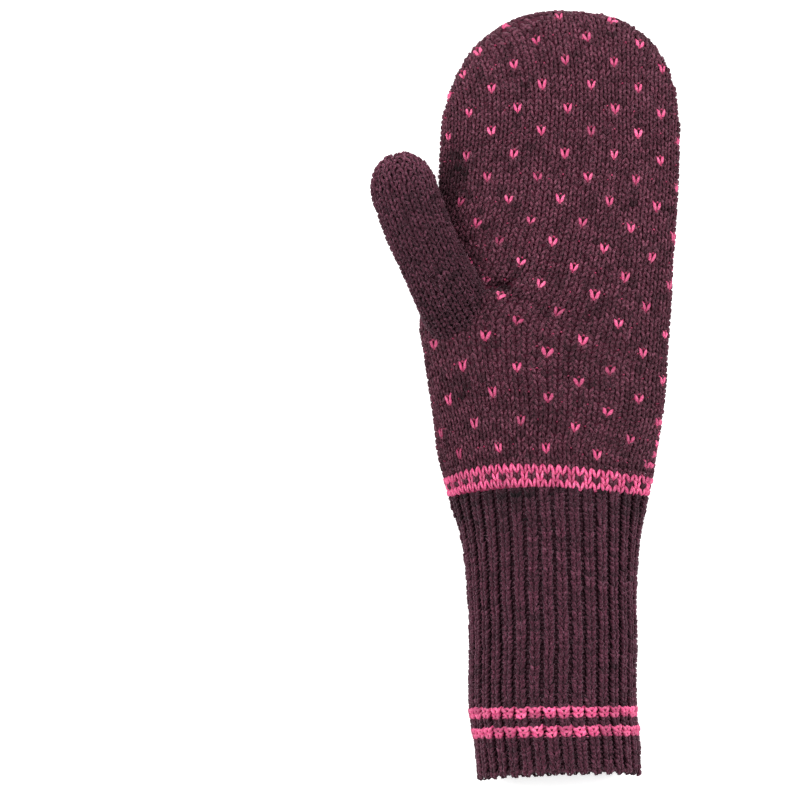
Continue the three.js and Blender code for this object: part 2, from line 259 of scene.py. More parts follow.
def fold_lift(x, y):
    """Height that the folds round the thumb's root add to the palm."""
    lift = 0 * x
    for fold in PALM_FOLDS:
        turn = math.radians(fold["turn"])
        dx, dy = x - fold["across"] * PALM_WIDTH, y - fold["up"] * HAND_LENGTH
        along = dx * math.cos(turn) + dy * math.sin(turn)
        aside = dy * math.cos(turn) - dx * math.sin(turn)
        past = along - np.clip(along, 0, fold["length"] * PALM_WIDTH)
        spread = (past**2 + aside**2) / (fold["width"] * PALM_WIDTH) ** 2
        lift = lift + fold["lift"] * PALM_CROWN * np.exp(-spread)
    return lift


def folded_palm(section, turn):
    x, y, z = crown_point(section, turn)
    return x, y, z + fold_lift(x, y) * np.maximum(0, np.sin(turn))


# %% [markdown]
# ## Where the mitten is in the frame
# The sections above are counted from the wrist, and the plain model has its origin in the middle of its
# box. The shift between them is read from the frame itself, from the boxes of two of its nodes.

# %% Shift to the frame
widest = hand_section(np.linspace(0, 1, 400))
SHIFT = np.array([
    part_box("hand")[1].x / MM - float((widest.middle + widest.half).max()),
    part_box("cuff")[1].y / MM + SEAM_GAP,
    0.0,
])
print("shift in mm:", SHIFT.round(2))


def in_metres(points):
    return (np.asarray(points, float) + SHIFT) * MM


# %% [markdown]
# ## Even steps round a curve
# Knitting has stitches of one width, so they are counted along the surface and not across the picture.
# A section is walked in short steps, the steps are added up, and the place of a given share of the whole
# length is looked up between them.

# %% Arc length


def length_along(points):
    """Length walked along a line of points, up to each of them."""
    return np.concatenate([[0], np.cumsum(np.linalg.norm(np.diff(points, axis=0), axis=1))])


def turn_at_share(curve, section, share, samples=121):
    """Turn where a share of each section's own curve lies, and the whole length of that curve."""
    turns = np.linspace(0, np.pi, samples)
    wide = SimpleNamespace(**{
        key: np.broadcast_to(value, np.shape(share))[:, None] for key, value in vars(section).items()
    })
    x, _, z = curve(wide, turns[None, :])
    steps = np.hypot(np.diff(x, axis=1), np.diff(z, axis=1))
    length = np.concatenate([np.zeros((len(steps), 1)), np.cumsum(steps, axis=1)], axis=1)
    target = np.asarray(share)[:, None] * length[:, -1:]
    low = np.clip((length < target).sum(axis=1) - 1, 0, samples - 2)
    line = np.arange(len(low))
    t = (target[:, 0] - length[line, low]) / np.maximum(length[line, low + 1] - length[line, low], 1e-9)
    return turns[low] + t * (turns[1] - turns[0]), length[:, -1]


# %% [markdown]
# ## Rows and wales of the hand
# A wale is a column of stitches and a row runs across it. 66 wales go round the hand, 33 of them over the
# palm. A filled mitten is never straight: beside the thumb the wales are drawn aside and wider apart, and
# the rows climb towards the thumb's root and hang at the side edges. Two tables say by how much, at five
# places from the thumb edge to the little-finger edge.

# %% How wales and rows are drawn aside
WALES = 33
ROW = 2.217
BAND_ROWS = 3
TIP_BEND = 0.975
ACROSS = np.array([-1.0, -0.5, 0.0, 0.5, 1.0])
PLACES_ACROSS = ("thumb_edge", "thumb_half", "middle", "little_half", "little_edge")

# Shift of the wales, in wales, for the wale that would lie at each place across.
WALE_SHIFTS = table(
    "at thumb_edge thumb_half middle little_half little_edge",
    [
        (0.000, -1.6, -3.4, -4.2, -3.9, -2.2),
        (0.075, -2.2, -3.7, -4.4, -4.0, -2.0),
        (0.122, -2.3, -4.0, -4.5, -3.4, -1.3),
        (0.170, -3.5, -4.7, -4.7, -3.1, -0.9),
        (0.218, -5.0, -5.3, -4.9, -2.9, -0.8),
        (0.266, -5.9, -5.9, -4.8, -2.8, -0.8),
        (0.313, -5.5, -5.2, -4.5, -2.2, -0.8),
        (0.361, -4.6, -4.4, -3.5, -1.7, -0.8),
        (0.409, -3.6, -3.3, -2.4, -1.4, -0.6),
        (0.457, -2.8, -2.6, -1.8, -1.1, -0.5),
        (0.505, -2.4, -2.3, -1.5, -0.9, -0.4),
        (0.552, -1.8, -2.0, -1.1, -0.8, -0.2),
        (0.600, -1.1, -1.3, -0.9, -0.7, -0.1),
        (0.700, -0.3, -0.9, -0.5, -0.2, 0.0),
        (0.800, -0.3, -0.8, -0.4, -0.4, 0.0),
        (0.887, -0.9, -1.6, -1.05, -0.8, -0.1),
        (0.935, -2.0, -2.4, -1.75, -0.9, 0.2),
        (1.000, -3.1, -3.0, -2.2, -1.1, 0.4),
    ],
)
# Lift of the rows, in millimetres, at each place across.
ROW_LIFTS = table(
    "at thumb_edge thumb_half middle little_half little_edge",
    [
        (0.000, -4.0, 0.0, 0.0, -1.5, -3.6),
        (0.045, -5.0, 0.1, 0.2, -1.9, -5.0),
        (0.075, -3.4, 1.2, 1.3, -1.7, -5.7),
        (0.122, -2.8, 2.7, 2.2, -1.8, -6.0),
        (0.170, -0.5, 5.0, 3.0, -2.4, -6.5),
        (0.218, 2.0, 7.0, 3.5, -3.1, -6.9),
        (0.266, 3.2, 9.2, 3.0, -3.8, -7.8),
        (0.313, 4.0, 9.4, 2.8, -3.5, -8.0),
        (0.361, 3.4, 8.0, 2.0, -3.1, -8.2),
        (0.409, 1.2, 4.6, 2.1, -3.0, -7.5),
        (0.457, -0.5, 2.7, 1.4, -2.4, -7.0),
        (0.505, -1.0, 1.5, 1.3, -1.8, -6.2),
        (0.552, -1.8, 0.5, 0.5, -1.4, -5.5),
        (0.600, -2.0, 0.1, 0.1, -0.8, -4.4),
        (0.700, -2.2, 0.1, 0.0, -0.5, -4.0),
        (0.800, -2.9, 0.0, 0.3, -0.1, -3.4),
        (0.887, -4.2, -0.2, 1.6, 0.7, -2.0),
        (1.000, -4.2, -0.6, 2.2, 1.6, -0.8),
    ],
)


def drawn_aside(rows, at, across):
    """Value of a table at a place up the hand and across the palm, on one smooth curve across."""
    across = np.clip(across, -1, 1)
    total = 0 * across
    for i, name in enumerate(PLACES_ACROSS):
        others = np.delete(ACROSS, i)
        weight = np.prod([(across - other) / (ACROSS[i] - other) for other in others], axis=0)
        total = total + weight * column_at(rows, name, at)
    return total


# %% [markdown]
# At the fingertips the wales run straight on, and the round outline cuts them off. The very last rows are
# counted along the round end and not along the length, or their stitches would be stretched there.

# %% Rows and wales on palm and back


def rows_to_height(face):
    """Table of row numbers and heights. Past the bend, rows are counted along the round fingertip."""
    at = np.linspace(TIP_BEND, 1, 400)
    section = hand_section(at)
    z = section.crown if face == "palm" else -section.depth
    first = BAND_ROWS + (TIP_BEND * HAND_LENGTH - BAND_HEIGHT) / ROW
    numbers = np.concatenate([[0, BAND_ROWS], first + length_along(np.stack([section.y, z], axis=-1)) / ROW])
    return numbers, np.concatenate([[0, BAND_HEIGHT], section.y])


ROW_HEIGHTS = {face: rows_to_height(face) for face in ("palm", "back")}
STITCH_INSET = 0.9


def face_place(face, drawn, height, inset):
    """Points at drawn wale numbers of one face, counted from its middle, and their share across it."""
    at = height / HAND_LENGTH
    curve = crown_point if face == "palm" else back_point
    section = hand_section(at, inset)
    _, here = turn_at_share(curve, section, 0 * drawn + 0.5)
    _, full = turn_at_share(curve, hand_section(np.minimum(at, TIP_START), inset), 0 * drawn + 0.5)
    share = 0.5 + drawn / WALES * full / here
    turn, _ = turn_at_share(curve, section, share)
    across = (curve(section, turn)[0] - section.middle) / section.half
    if face == "palm":
        lift = drawn_aside(ROW_LIFTS, at, across)
    else:
        edge = drawn_aside(ROW_LIFTS, at, np.where(across > 0, 1.0, -1.0))
        lift = edge * np.minimum(np.abs(across), 1) ** 2
    level = height + lift + section.sag * np.minimum(across**2, 1)
    moved = hand_section(level / HAND_LENGTH, inset)
    moved.y = np.where(level < 0, level, moved.y)
    place = folded_palm if face == "palm" else back_point
    return np.stack(place(moved, turn), axis=-1), share


def hand_place(wale, row, inset=STITCH_INSET):
    """Points of the hand. Wales -16 to 16 belong to the palm and 17 to 49 to the back."""
    wale, row = np.broadcast_arrays(np.asarray(wale, float), np.asarray(row, float))
    half = WALES / 2
    on_palm = wale < half
    heights = {face: np.interp(row, *ROW_HEIGHTS[face]) for face in ("palm", "back")}
    at = np.where(on_palm, heights["palm"], heights["back"]) / HAND_LENGTH
    little, thumb = (drawn_aside(WALE_SHIFTS, at, 0 * at + side) for side in (1.0, -1.0))
    back_share = ramp(wale, half, half + WALES)
    shift = np.where(
        on_palm, drawn_aside(WALE_SHIFTS, at, wale / half), little + (thumb - little) * back_share
    )
    drawn = wale + shift
    crossing = ((drawn > 3 * half) | (drawn < half)) & (at < TIP_START)
    palm_side = np.where(on_palm, (drawn > -half) | (at > TIP_START), crossing)
    turned = np.where(drawn > 3 * half, drawn - 2 * WALES, drawn)
    palm, palm_share = face_place("palm", turned, heights["palm"], inset)
    around = np.where(drawn < half, drawn + 2 * WALES, drawn) - WALES
    back, back_share = face_place("back", around, heights["back"], inset)
    return np.where(palm_side[..., None], palm, back), np.where(palm_side, palm_share, back_share)


# %% [markdown]
# ## Ribs of the cuff
# The cuff is a one-by-one rib: one wale of V stitches stands up, and the next wale shows its back and
# sinks in between. 33 such pairs go round, 17 of them over the upper half. The cast-on edge is stretched
# at the top, so it lies a little higher there than at the sides, and it hangs lowest at the thumb side.

# %% Rib places
CUFF_ROWS = 59
CUFF_ROW = CUFF_LENGTH / CUFF_ROWS
CUFF_END_RISE = 2.6
CUFF_END_DROP = 0.1
CUFF_END_SLANT = 0.9
UPPER_RIBS = 17
LOWER_RIBS = RIB_COUNT - UPPER_RIBS
RIB_OFFSET = 0.125


def cuff_place(rib, row, inset=STITCH_INSET):
    """Points round the cuff: rib 0 is the thumb edge, and row 0 the first row below the wrist."""
    rib, row = np.asarray(rib, float), np.asarray(row, float)
    at = row * CUFF_ROW / CUFF_LENGTH
    section = cuff_section(at, inset)
    rib = np.mod(rib, RIB_COUNT)
    upper = rib < UPPER_RIBS - RIB_OFFSET
    share_up = (rib + RIB_OFFSET) / UPPER_RIBS
    share_down = (rib - UPPER_RIBS + RIB_OFFSET) / LOWER_RIBS
    turn_up, _ = turn_at_share(crown_point, section, np.where(upper, share_up, 0.5))
    turn_down, _ = turn_at_share(back_point, section, np.where(upper, 0.5, share_down))
    point = np.where(upper, crown_point(section, turn_up), back_point(section, turn_down))
    near_end = np.clip(at, 0, 1) ** 3
    rise = CUFF_END_RISE * np.abs(point[2] - section.side) / section.crown
    drop = CUFF_END_DROP - CUFF_END_SLANT * (point[0] - section.middle) / section.half
    point[1] += near_end * (rise - drop)
    return point.T


# %% [markdown]
# ## Rounds of the thumb
# The thumb is a tube of its own. It rises out of the palm, leans away from it and bends a little, so its
# rounds follow a middle line: at each place there is a direction ahead, one to the side and one up.

# %% Thumb places
THUMB_STITCHES = 24
THUMB_TIP_START = 1 - THUMB_TIP_LENGTH / THUMB_LENGTH


def thumb_middle(at):
    edge = hand_section(THUMB_ROOT_UP / HAND_LENGTH)
    out = np.array([-math.sin(THUMB_LEAN), math.cos(THUMB_LEAN), 0])
    away = np.array([-math.cos(THUMB_LEAN), -math.sin(THUMB_LEAN), 0])
    root = np.array([float(edge.middle - edge.half) + THUMB_ROOT_IN, THUMB_ROOT_UP, float(edge.side)])
    bow = column_at(THUMB_SECTIONS, "bow", at) * THUMB_LENGTH
    rise = column_at(THUMB_SECTIONS, "rise", at) * (PALM_CROWN + THUMB_THICKNESS)
    straight = root + np.multiply.outer(at * THUMB_LENGTH, out) + np.multiply.outer(bow, away)
    return straight + np.multiply.outer(rise, [0, 0, 1])


def thumb_place(at, turn, inset=STITCH_INSET):
    """Points on the thumb: turn 0 is its palm side and grows over the top."""
    at, turn = np.broadcast_arrays(np.asarray(at, float), np.asarray(turn, float))
    reach = ramp(at, THUMB_TIP_START, 1)
    narrowing = np.sqrt(np.maximum(1 - reach**2, 0))
    half = (THUMB_WIDTH * column_at(THUMB_SECTIONS, "width", at) / 2 - inset) * narrowing
    rise = (THUMB_THICKNESS * column_at(THUMB_SECTIONS, "thick", at) / 2 - inset) * narrowing
    ahead = thumb_middle(np.minimum(at + 0.01, 1)) - thumb_middle(np.maximum(at - 0.01, 0))
    ahead /= np.linalg.norm(ahead, axis=-1, keepdims=True)
    across = np.cross(ahead, [0, 0, 1])
    across /= np.linalg.norm(across, axis=-1, keepdims=True)
    up = np.cross(across, ahead)
    point = thumb_middle(at) - ahead * (inset * reach)[..., None]
    return point + across * (half * np.cos(turn))[..., None] + up * (rise * np.sin(turn))[..., None]


print("thumb tip in the frame:", in_metres(thumb_place(1.0, 0.0)).round(4))

# %% [markdown]
# ## The fabric behind the stitches
# Between two stitches of a real mitten the eye meets more yarn, never daylight. A thin dark shell lies
# just under the stitches and gives the mitten its wall and its inside. Its rings run along the inside to
# the open end, over it and back along the outside, so that it is closed and has a real thickness.

# %% Shell meshes


def shell_mesh(name, rings, looped):
    """Closed mesh through rings of equal count. A looped one joins its ends, and others have flat ends."""
    rings = np.asarray(rings)
    count, around = rings.shape[:2]
    corner = np.arange(count * around).reshape(count, around)
    following, beside = np.roll(corner, -1, axis=0), np.roll(corner, -1, axis=1)
    faces = np.stack([corner, beside, np.roll(following, -1, axis=1), following], axis=-1)
    faces = faces[: count if looped else count - 1].reshape(-1, 4).tolist()
    if not looped:
        faces += [corner[0, ::-1].tolist(), corner[-1].tolist()]
    mesh = bpy.data.meshes.new(name)
    mesh.from_pydata(in_metres(rings.reshape(-1, 3)).tolist(), [], faces)
    mesh.validate()
    mesh.shade_smooth()
    piece = bpy.data.objects.new(name, mesh)
    bpy.context.scene.collection.objects.link(piece)
    return piece


def face_outwards(piece):
    """Turns a shell's faces if its volume comes out negative."""
    mesh = piece.data
    mesh.calc_loop_triangles()
    corners = np.array([[mesh.vertices[i].co for i in t.vertices] for t in mesh.loop_triangles])
    volume = np.einsum("ij,ij->i", corners[:, 0], np.cross(corners[:, 1], corners[:, 2])).sum() / 6
    if volume < 0:
        mesh.flip_normals()
    print(f"{piece.name}: {abs(volume) * 1e6:.1f} cubic cm")


def fabric_shell(name, ring, stations, inner, outer, looped, inner_step=1):
    """Shell between rings at an inner and an outer inset. Its inside may skip some of the stations."""
    rings = [ring(at, inner) for at in stations[::-inner_step]] + [ring(at, outer) for at in stations]
    piece = shell_mesh(name, rings, looped)
    face_outwards(piece)
    return piece


# %% [markdown]
# The hand's shell is closed at the fingertips, and the band's is an open ring. Stations lie closer and
# closer together towards a round tip, so that each step turns it by the same angle.

# %% Hand and band shells
SHELL_INSET = 1.5
RING_POINTS = 84
THUMB_RING_POINTS = 48
TIP_SLIT = 0.03
BAND_END = BAND_HEIGHT / HAND_LENGTH
BAND_GAP = 0.002


def hand_ring(at, inset):
    section = hand_section(np.full(RING_POINTS, at), inset)
    turn = np.linspace(0, np.pi, RING_POINTS, endpoint=False)
    faces = folded_palm(section, turn), back_point(section, turn)
    return np.concatenate([np.stack(face, axis=-1) for face in faces])


def tip_stations(first, tip_start, roundness, low_count, tip_count):
    turn = np.linspace(0, 1, tip_count) * (np.pi / 2 - TIP_SLIT)
    tip = tip_start + (1 - tip_start) * np.sin(turn) ** (2 / roundness)
    return np.concatenate([np.linspace(first, tip_start, low_count, endpoint=False), tip])


hand_stations = tip_stations(BAND_END + BAND_GAP, TIP_START, FINGERTIP_ROUNDNESS, 90, 16)
hand_fabric = fabric_shell(
    "hand_fabric", hand_ring, hand_stations, KNIT_WALL, SHELL_INSET, looped=False, inner_step=3
)
band_stations = np.linspace(0, BAND_END, 5)
band_fabric = fabric_shell(
    "wrist_band_fabric", hand_ring, band_stations, KNIT_WALL, SHELL_INSET, looped=True
)

# %% [markdown]
# The cuff's shell has no ribs of its own, because the V stitches stand on it and the sunken wales lie in
# it. It reaches a little into the band, or light would show between the two. The thumb's shell is a closed
# tube whose root ends inside the palm.

# %% Cuff and thumb shells
CUFF_SHELL_INSET = 2.2
CUFF_SHELL_ROWS = (-0.3, CUFF_ROWS - 0.4)
CUFF_INNER_WALL = KNIT_WALL + 0.3


def cuff_ring(row, inset):
    ribs_round = np.linspace(0, RIB_COUNT, 2 * RIB_COUNT, endpoint=False) - 0.1
    return cuff_place(ribs_round, np.full(2 * RIB_COUNT, row), inset)


def thumb_ring(at, inset):
    return thumb_place(at, np.linspace(0, 2 * np.pi, THUMB_RING_POINTS, endpoint=False), inset)


cuff_stations = np.linspace(*CUFF_SHELL_ROWS, 30)
cuff_fabric = fabric_shell(
    "cuff_fabric", cuff_ring, cuff_stations, CUFF_INNER_WALL, CUFF_SHELL_INSET, looped=True
)
thumb_stations = tip_stations(0.02, THUMB_TIP_START, 2, 14, 9)
thumb_fabric = fabric_shell(
    "thumb_fabric", thumb_ring, thumb_stations, KNIT_WALL, SHELL_INSET, looped=False
)

# %% [markdown]
# ## One stitch in Geometry Nodes
# A knit stitch shows two legs of yarn. Each leg starts low inside the stitch below, comes up over it and
# dives behind the next one. One leg is a short bent curve with a five-sided profile, thick in the middle
# and thin at its ends, and the other leg is its mirror image. A purl bump is one such bent bar lying
# across. The tree takes named sizes, puts one stitch on every point, turns it as the point says, and ends
# in real meshes, because instances are lost on export. Three small helpers keep the trees short to read.

# %% Helpers for node trees


def new_tree(name, kind, inputs, outputs):
    """Empty node tree with named sockets. The third column of an input is its value, if it has one."""
    tree = bpy.data.node_groups.new(name, kind)
    for side, sockets in (("INPUT", inputs), ("OUTPUT", outputs)):
        for label, socket, *value in sockets:
            made = tree.interface.new_socket(label, in_out=side, socket_type="NodeSocket" + socket)
            if value:
                made.default_value = value[0]
    return tree


def node_maker(tree):
    """Function that adds a node, sets its options, and fills its inputs with values or with links."""

    def add(kind, inputs=None, **options):
        made = tree.nodes.new(kind)
        for option, value in options.items():
            setattr(made, option, value)
        for label, value in (inputs or {}).items():
            if isinstance(value, bpy.types.NodeSocket):
                tree.links.new(value, made.inputs[label])
            else:
                made.inputs[label].default_value = value
        return made

    return add


def yarn_on_points(add, given, thread, smooth):
    """Puts a piece of yarn on every point, turned and sized as the point says, and makes it real."""
    turn, size = (
        add("GeometryNodeInputNamedAttribute", {"Name": label}, data_type="FLOAT_VECTOR").outputs["Attribute"]
        for label in ("turn", "size")
    )
    rotation = add("FunctionNodeEulerToRotation", {0: turn}).outputs[0]
    spread = add("GeometryNodeInstanceOnPoints", {
        "Points": given["Points"], "Instance": thread, "Rotation": rotation, "Scale": size,
    })
    real = add("GeometryNodeRealizeInstances", {"Geometry": spread.outputs["Instances"]}).outputs[0]
    if smooth:
        real = add("GeometryNodeSetShadeSmooth", {"Geometry": real}).outputs[0]
    finish = add("GeometryNodeSetMaterial", {"Geometry": real, "Material": given["Yarn"]})
    add("NodeGroupOutput", {0: finish.outputs[0]})


# %% Stitch trees
STITCH_WIDTH = 3.16
STITCH_HEIGHT = 2.29
YARN_THICKNESS = 1.24
YARN_SIDES = 5
LEG_STEPS = 3
# Thickness of the yarn along one leg, as a share of the whole.
LEG_TAPER = ((0.0, 0.55), (1.0, 0.50), (0.33, 0.97), (0.66, 0.97))


def yarn_tree(name, start, middle, end, mirrored):
    """Geometry Nodes tree that puts a bent piece of yarn on every point of a mesh."""
    sizes = {"Stitch width": STITCH_WIDTH, "Row height": STITCH_HEIGHT, "Yarn thickness": YARN_THICKNESS}
    floats = [(label, "Float", value * MM) for label, value in sizes.items()]
    tree = new_tree(
        name, "GeometryNodeTree", [("Points", "Geometry"), *floats, ("Yarn", "Material")],
        [("Stitches", "Geometry")],
    )
    add = node_maker(tree)
    given = add("NodeGroupInput").outputs
    width, height, thickness = (given[label] for label in sizes)

    def times(first, second):
        return add("ShaderNodeMath", {0: first, 1: second}, operation="MULTIPLY").outputs[0]

    def mark(label, geometry, value, **options):
        inputs = {"Name": label, "Geometry": geometry, "Value": value}
        return add("GeometryNodeStoreNamedAttribute", inputs, **options).outputs["Geometry"]

    size = add("ShaderNodeCombineXYZ", {"X": width, "Y": height, "Z": thickness}).outputs[0]
    bends = {
        socket: add("ShaderNodeVectorMath", {0: size, 1: shares}, operation="MULTIPLY").outputs[0]
        for socket, shares in (("Start", start), ("Middle", middle), ("End", end))
    }
    path = add("GeometryNodeCurveQuadraticBezier", {"Resolution": LEG_STEPS, **bends}).outputs["Curve"]
    along = add("GeometryNodeSplineParameter").outputs["Factor"]
    taper = add("ShaderNodeFloatCurve", {"Value": along})
    points = taper.mapping.curves[0].points
    points[0].location, points[1].location = LEG_TAPER[:2]
    for point in LEG_TAPER[2:]:
        points.new(*point)
    taper.mapping.update()
    radius = times(times(taper.outputs[0], thickness), 0.5)
    circle = add("GeometryNodeCurvePrimitiveCircle", {"Resolution": YARN_SIDES, "Radius": 1.0})
    place = add("GeometryNodeInputPosition").outputs["Position"]
    stitch = add("GeometryNodeCurveToMesh", {
        "Fill Caps": True,
        "Curve": mark("along", path, along),
        "Profile Curve": mark("facing", circle.outputs["Curve"], place, data_type="FLOAT_VECTOR"),
        "Scale": radius,
    }).outputs["Mesh"]
    if mirrored:
        other = add("GeometryNodeTransform", {"Geometry": stitch, "Scale": (-1, 1, 1)})
        flipped = add("GeometryNodeFlipFaces", {"Mesh": other.outputs["Geometry"]})
        both = add("GeometryNodeJoinGeometry", {"Geometry": flipped.outputs["Mesh"]})
        tree.links.new(stitch, both.inputs["Geometry"])
        stitch = both.outputs["Geometry"]
    lift = add("ShaderNodeSeparateXYZ", {0: place}).outputs["Z"]
    yarn_on_points(add, given, mark("lift", stitch, lift), smooth=True)
    return tree


KNIT_TREE = yarn_tree("knit stitches", (0.08, -0.70, -0.50), (0.28, -0.05, 1.05), (0.46, 0.66, -0.50), True)
PURL_TREE = yarn_tree("purl bumps", (-0.50, -0.30, -0.40), (0.00, 0.55, 0.95), (0.50, -0.30, -0.40), False)
print("stitch trees:", KNIT_TREE.name, "and", PURL_TREE.name)

# %% [markdown]
# Wool also sheds. Thin single fibres stand off the knitting and catch the light, most of all at the
# outline. One fibre is a bent three-sided hair, and another tree puts it on its points.

# %% Loose fibre tree
FIBRE_LENGTH = 1.8
FIBRE_RADIUS = 0.030
FIBRE_STEPS = FIBRE_SIDES = 3
FIBRE_BEND = {"Start": (0, 0, 0), "Middle": (0.35, 0.12, 0.62), "End": (1.0, -0.05, 0.42)}


def fibre_tree():
    tree = new_tree(
        "loose fibres", "GeometryNodeTree",
        [
            ("Points", "Geometry"), ("Fibre length", "Float", FIBRE_LENGTH * MM),
            ("Fibre radius", "Float", FIBRE_RADIUS * MM), ("Yarn", "Material"),
        ],
        [("Fibres", "Geometry")],
    )
    add = node_maker(tree)
    given = add("NodeGroupInput").outputs
    length = given["Fibre length"]
    bends = {
        socket: add("ShaderNodeVectorMath", {0: shares, "Scale": length}, operation="SCALE").outputs[0]
        for socket, shares in FIBRE_BEND.items()
    }
    path = add("GeometryNodeCurveQuadraticBezier", {"Resolution": FIBRE_STEPS, **bends})
    circle = add("GeometryNodeCurvePrimitiveCircle", {"Resolution": FIBRE_SIDES, "Radius": 1.0})
    hair = add("GeometryNodeCurveToMesh", {
        "Fill Caps": True, "Curve": path.outputs["Curve"], "Profile Curve": circle.outputs["Curve"],
        "Scale": given["Fibre radius"],
    })
    yarn_on_points(add, given, hair.outputs["Mesh"], smooth=False)
    return tree


FIBRE_TREE = fibre_tree()
print("fibre tree:", FIBRE_TREE.name)

# %% [markdown]
# ## Wool
# Plum wool is not one colour: it is spun from dark, purple and pinkish fibres, so it looks heathered from
# near and soft from far. One shader group gives every yarn its fibre colours, a painted shade on the low
# parts of each leg where the hollows between stitches lie, a tone per stitch that is a small random
# difference and also carries the painted shade and highlight set further on, and the fine bumps of
# twisted plies. The soft light rim of wool is the sheen on the shader itself. The cuff and the thumb get
# darker copies of the same plum, which is painted shade. The palm also looks redder, because a pink
# strand runs behind its stitches.

# %% Shader group for wool
PLY_TWIST = 16.0


def wool_group():
    values = (("Heather", 0.5), ("Stitch difference", 0.2), ("Hollow depth", 0.7))
    tree = new_tree(
        "heathered wool", "ShaderNodeTree",
        [(label, "Color") for label in ("Yarn colour", "Light fibres", "Hollows")]
        + [(label, "Float", value) for label, value in values],
        [("Color", "Color"), ("Height", "Float")],
    )
    add = node_maker(tree)
    given = add("NodeGroupInput").outputs
    place = add("ShaderNodeTexCoord").outputs["Object"]

    def maths(operation, *inputs, clamp=False):
        return add("ShaderNodeMath", dict(enumerate(inputs)), operation=operation, use_clamp=clamp).outputs[0]

    def noise(scale, detail):
        inputs = {"Scale": scale, "Detail": detail, "Roughness": 0.6, "Vector": place}
        return add("ShaderNodeTexNoise", inputs).outputs["Fac"]

    def mixed(share, first, second):
        inputs = {"Factor": share, "A": first, "B": second}
        return add("ShaderNodeMix", inputs, data_type="RGBA").outputs["Result"]

    def attribute(name):
        return add("ShaderNodeAttribute", attribute_name=name).outputs

    cloud, fibre, fluff = noise(60, 2), noise(1100, 3), noise(2900, 2)
    heather = maths("MULTIPLY_ADD", maths("SUBTRACT", fibre, 0.5), 6.0, 0.6)
    heather = maths("MULTIPLY_ADD", maths("SUBTRACT", fluff, 0.5), 4.0, heather)
    heather = maths("MULTIPLY", heather, given["Heather"], clamp=True)
    light = mixed(heather, given["Yarn colour"], given["Light fibres"])

    tone = maths("MULTIPLY_ADD", maths("SUBTRACT", cloud, 0.5), 1.2, attribute("tone")["Fac"])
    value = maths("MULTIPLY_ADD", tone, given["Stitch difference"], 1.0)
    shade = add("ShaderNodeHueSaturation", {"Color": light, "Value": value}).outputs["Color"]

    # Painted shade: the low parts of each leg are mixed towards the hollow shade colour.
    reach = {"From Min": 0.5 * MM, "From Max": -0.7 * MM, "Value": attribute("lift")["Fac"]}
    hollow_shade_share = add("ShaderNodeMapRange", reach).outputs[0]
    hollow_shade_share = maths("MULTIPLY", hollow_shade_share, given["Hollow depth"], clamp=True)

    sides = add("ShaderNodeSeparateXYZ", {0: attribute("facing")["Vector"]}).outputs
    twist = maths("MULTIPLY", attribute("along")["Fac"], PLY_TWIST)
    twist = maths("MULTIPLY_ADD", maths("ARCTAN2", sides["Y"], sides["X"]), 2.0, twist)
    height = maths("MULTIPLY_ADD", maths("SINE", twist), 0.25, fluff)
    height = maths("MULTIPLY_ADD", fibre, 0.8, height)
    add("NodeGroupOutput", {"Color": mixed(hollow_shade_share, shade, given["Hollows"]), "Height": height})
    return tree


WOOL = wool_group()

# %% [markdown]
# Each material places the group with its own colours. Numbers that are the same all over, such as
# roughness and sheen, are set on the shader itself.

# %% Wool materials


def wool_material(name, yarn, fibres, hollow_shade, heather, hollow_shade_depth, tint, sheen=0.15):
    material = bpy.data.materials.new(name)
    material.use_nodes = True
    shader = material.node_tree.nodes["Principled BSDF"]
    add, link = node_maker(material.node_tree), material.node_tree.links.new
    wool = add("ShaderNodeGroup", {
        "Yarn colour": (*yarn, 1), "Light fibres": (*fibres, 1), "Hollows": (*hollow_shade, 1),
        "Heather": heather, "Hollow depth": hollow_shade_depth,
    }, node_tree=WOOL)
    height = wool.outputs["Height"]
    bump = add("ShaderNodeBump", {"Strength": 0.8, "Distance": 0.3 * MM, "Height": height})
    link(wool.outputs["Color"], shader.inputs["Base Color"])
    link(bump.outputs["Normal"], shader.inputs["Normal"])
    for label, value in (
        ("Roughness", 0.95), ("Specular IOR Level", 0.15), ("Sheen Weight", sheen),
        ("Sheen Roughness", 0.4), ("Sheen Tint", (*tint, 1)),
    ):
        shader.inputs[label].default_value = value
    return material


DULL = {"hollow_shade_depth": 0.0, "sheen": 0.05, "tint": (0.9, 0.6, 0.7)}
PLUM = wool_material(
    "plum wool", (0.030, 0.0038, 0.0098), (0.164, 0.055, 0.083), (0.026, 0.0036, 0.0090), 0.48,
    hollow_shade_depth=0.6, tint=(0.95, 0.62, 0.72),
)
# Darker copy of the plum for the cuff: painted shade.
SHADED_CUFF_PLUM = wool_material(
    "plum wool of the cuff, painted shade", (0.024, 0.0031, 0.0084), (0.118, 0.038, 0.061), (0.015, 0.0023, 0.0058), 0.47,
    hollow_shade_depth=0.5, sheen=0.22, tint=(0.90, 0.62, 0.74),
)
# Darker copy of the plum for the thumb: painted shade.
SHADED_THUMB_PLUM = wool_material(
    "plum wool of the thumb, painted shade", (0.019, 0.0026, 0.0066), (0.098, 0.032, 0.051), (0.013, 0.0020, 0.0048), 0.48,
    hollow_shade_depth=0.55, tint=(0.90, 0.62, 0.74),
)
PINK = wool_material(
    "pink wool", (0.51, 0.052, 0.158), (0.68, 0.185, 0.300), (0.43, 0.040, 0.122), 0.42,
    hollow_shade_depth=0.6, tint=(1.0, 0.70, 0.82),
)
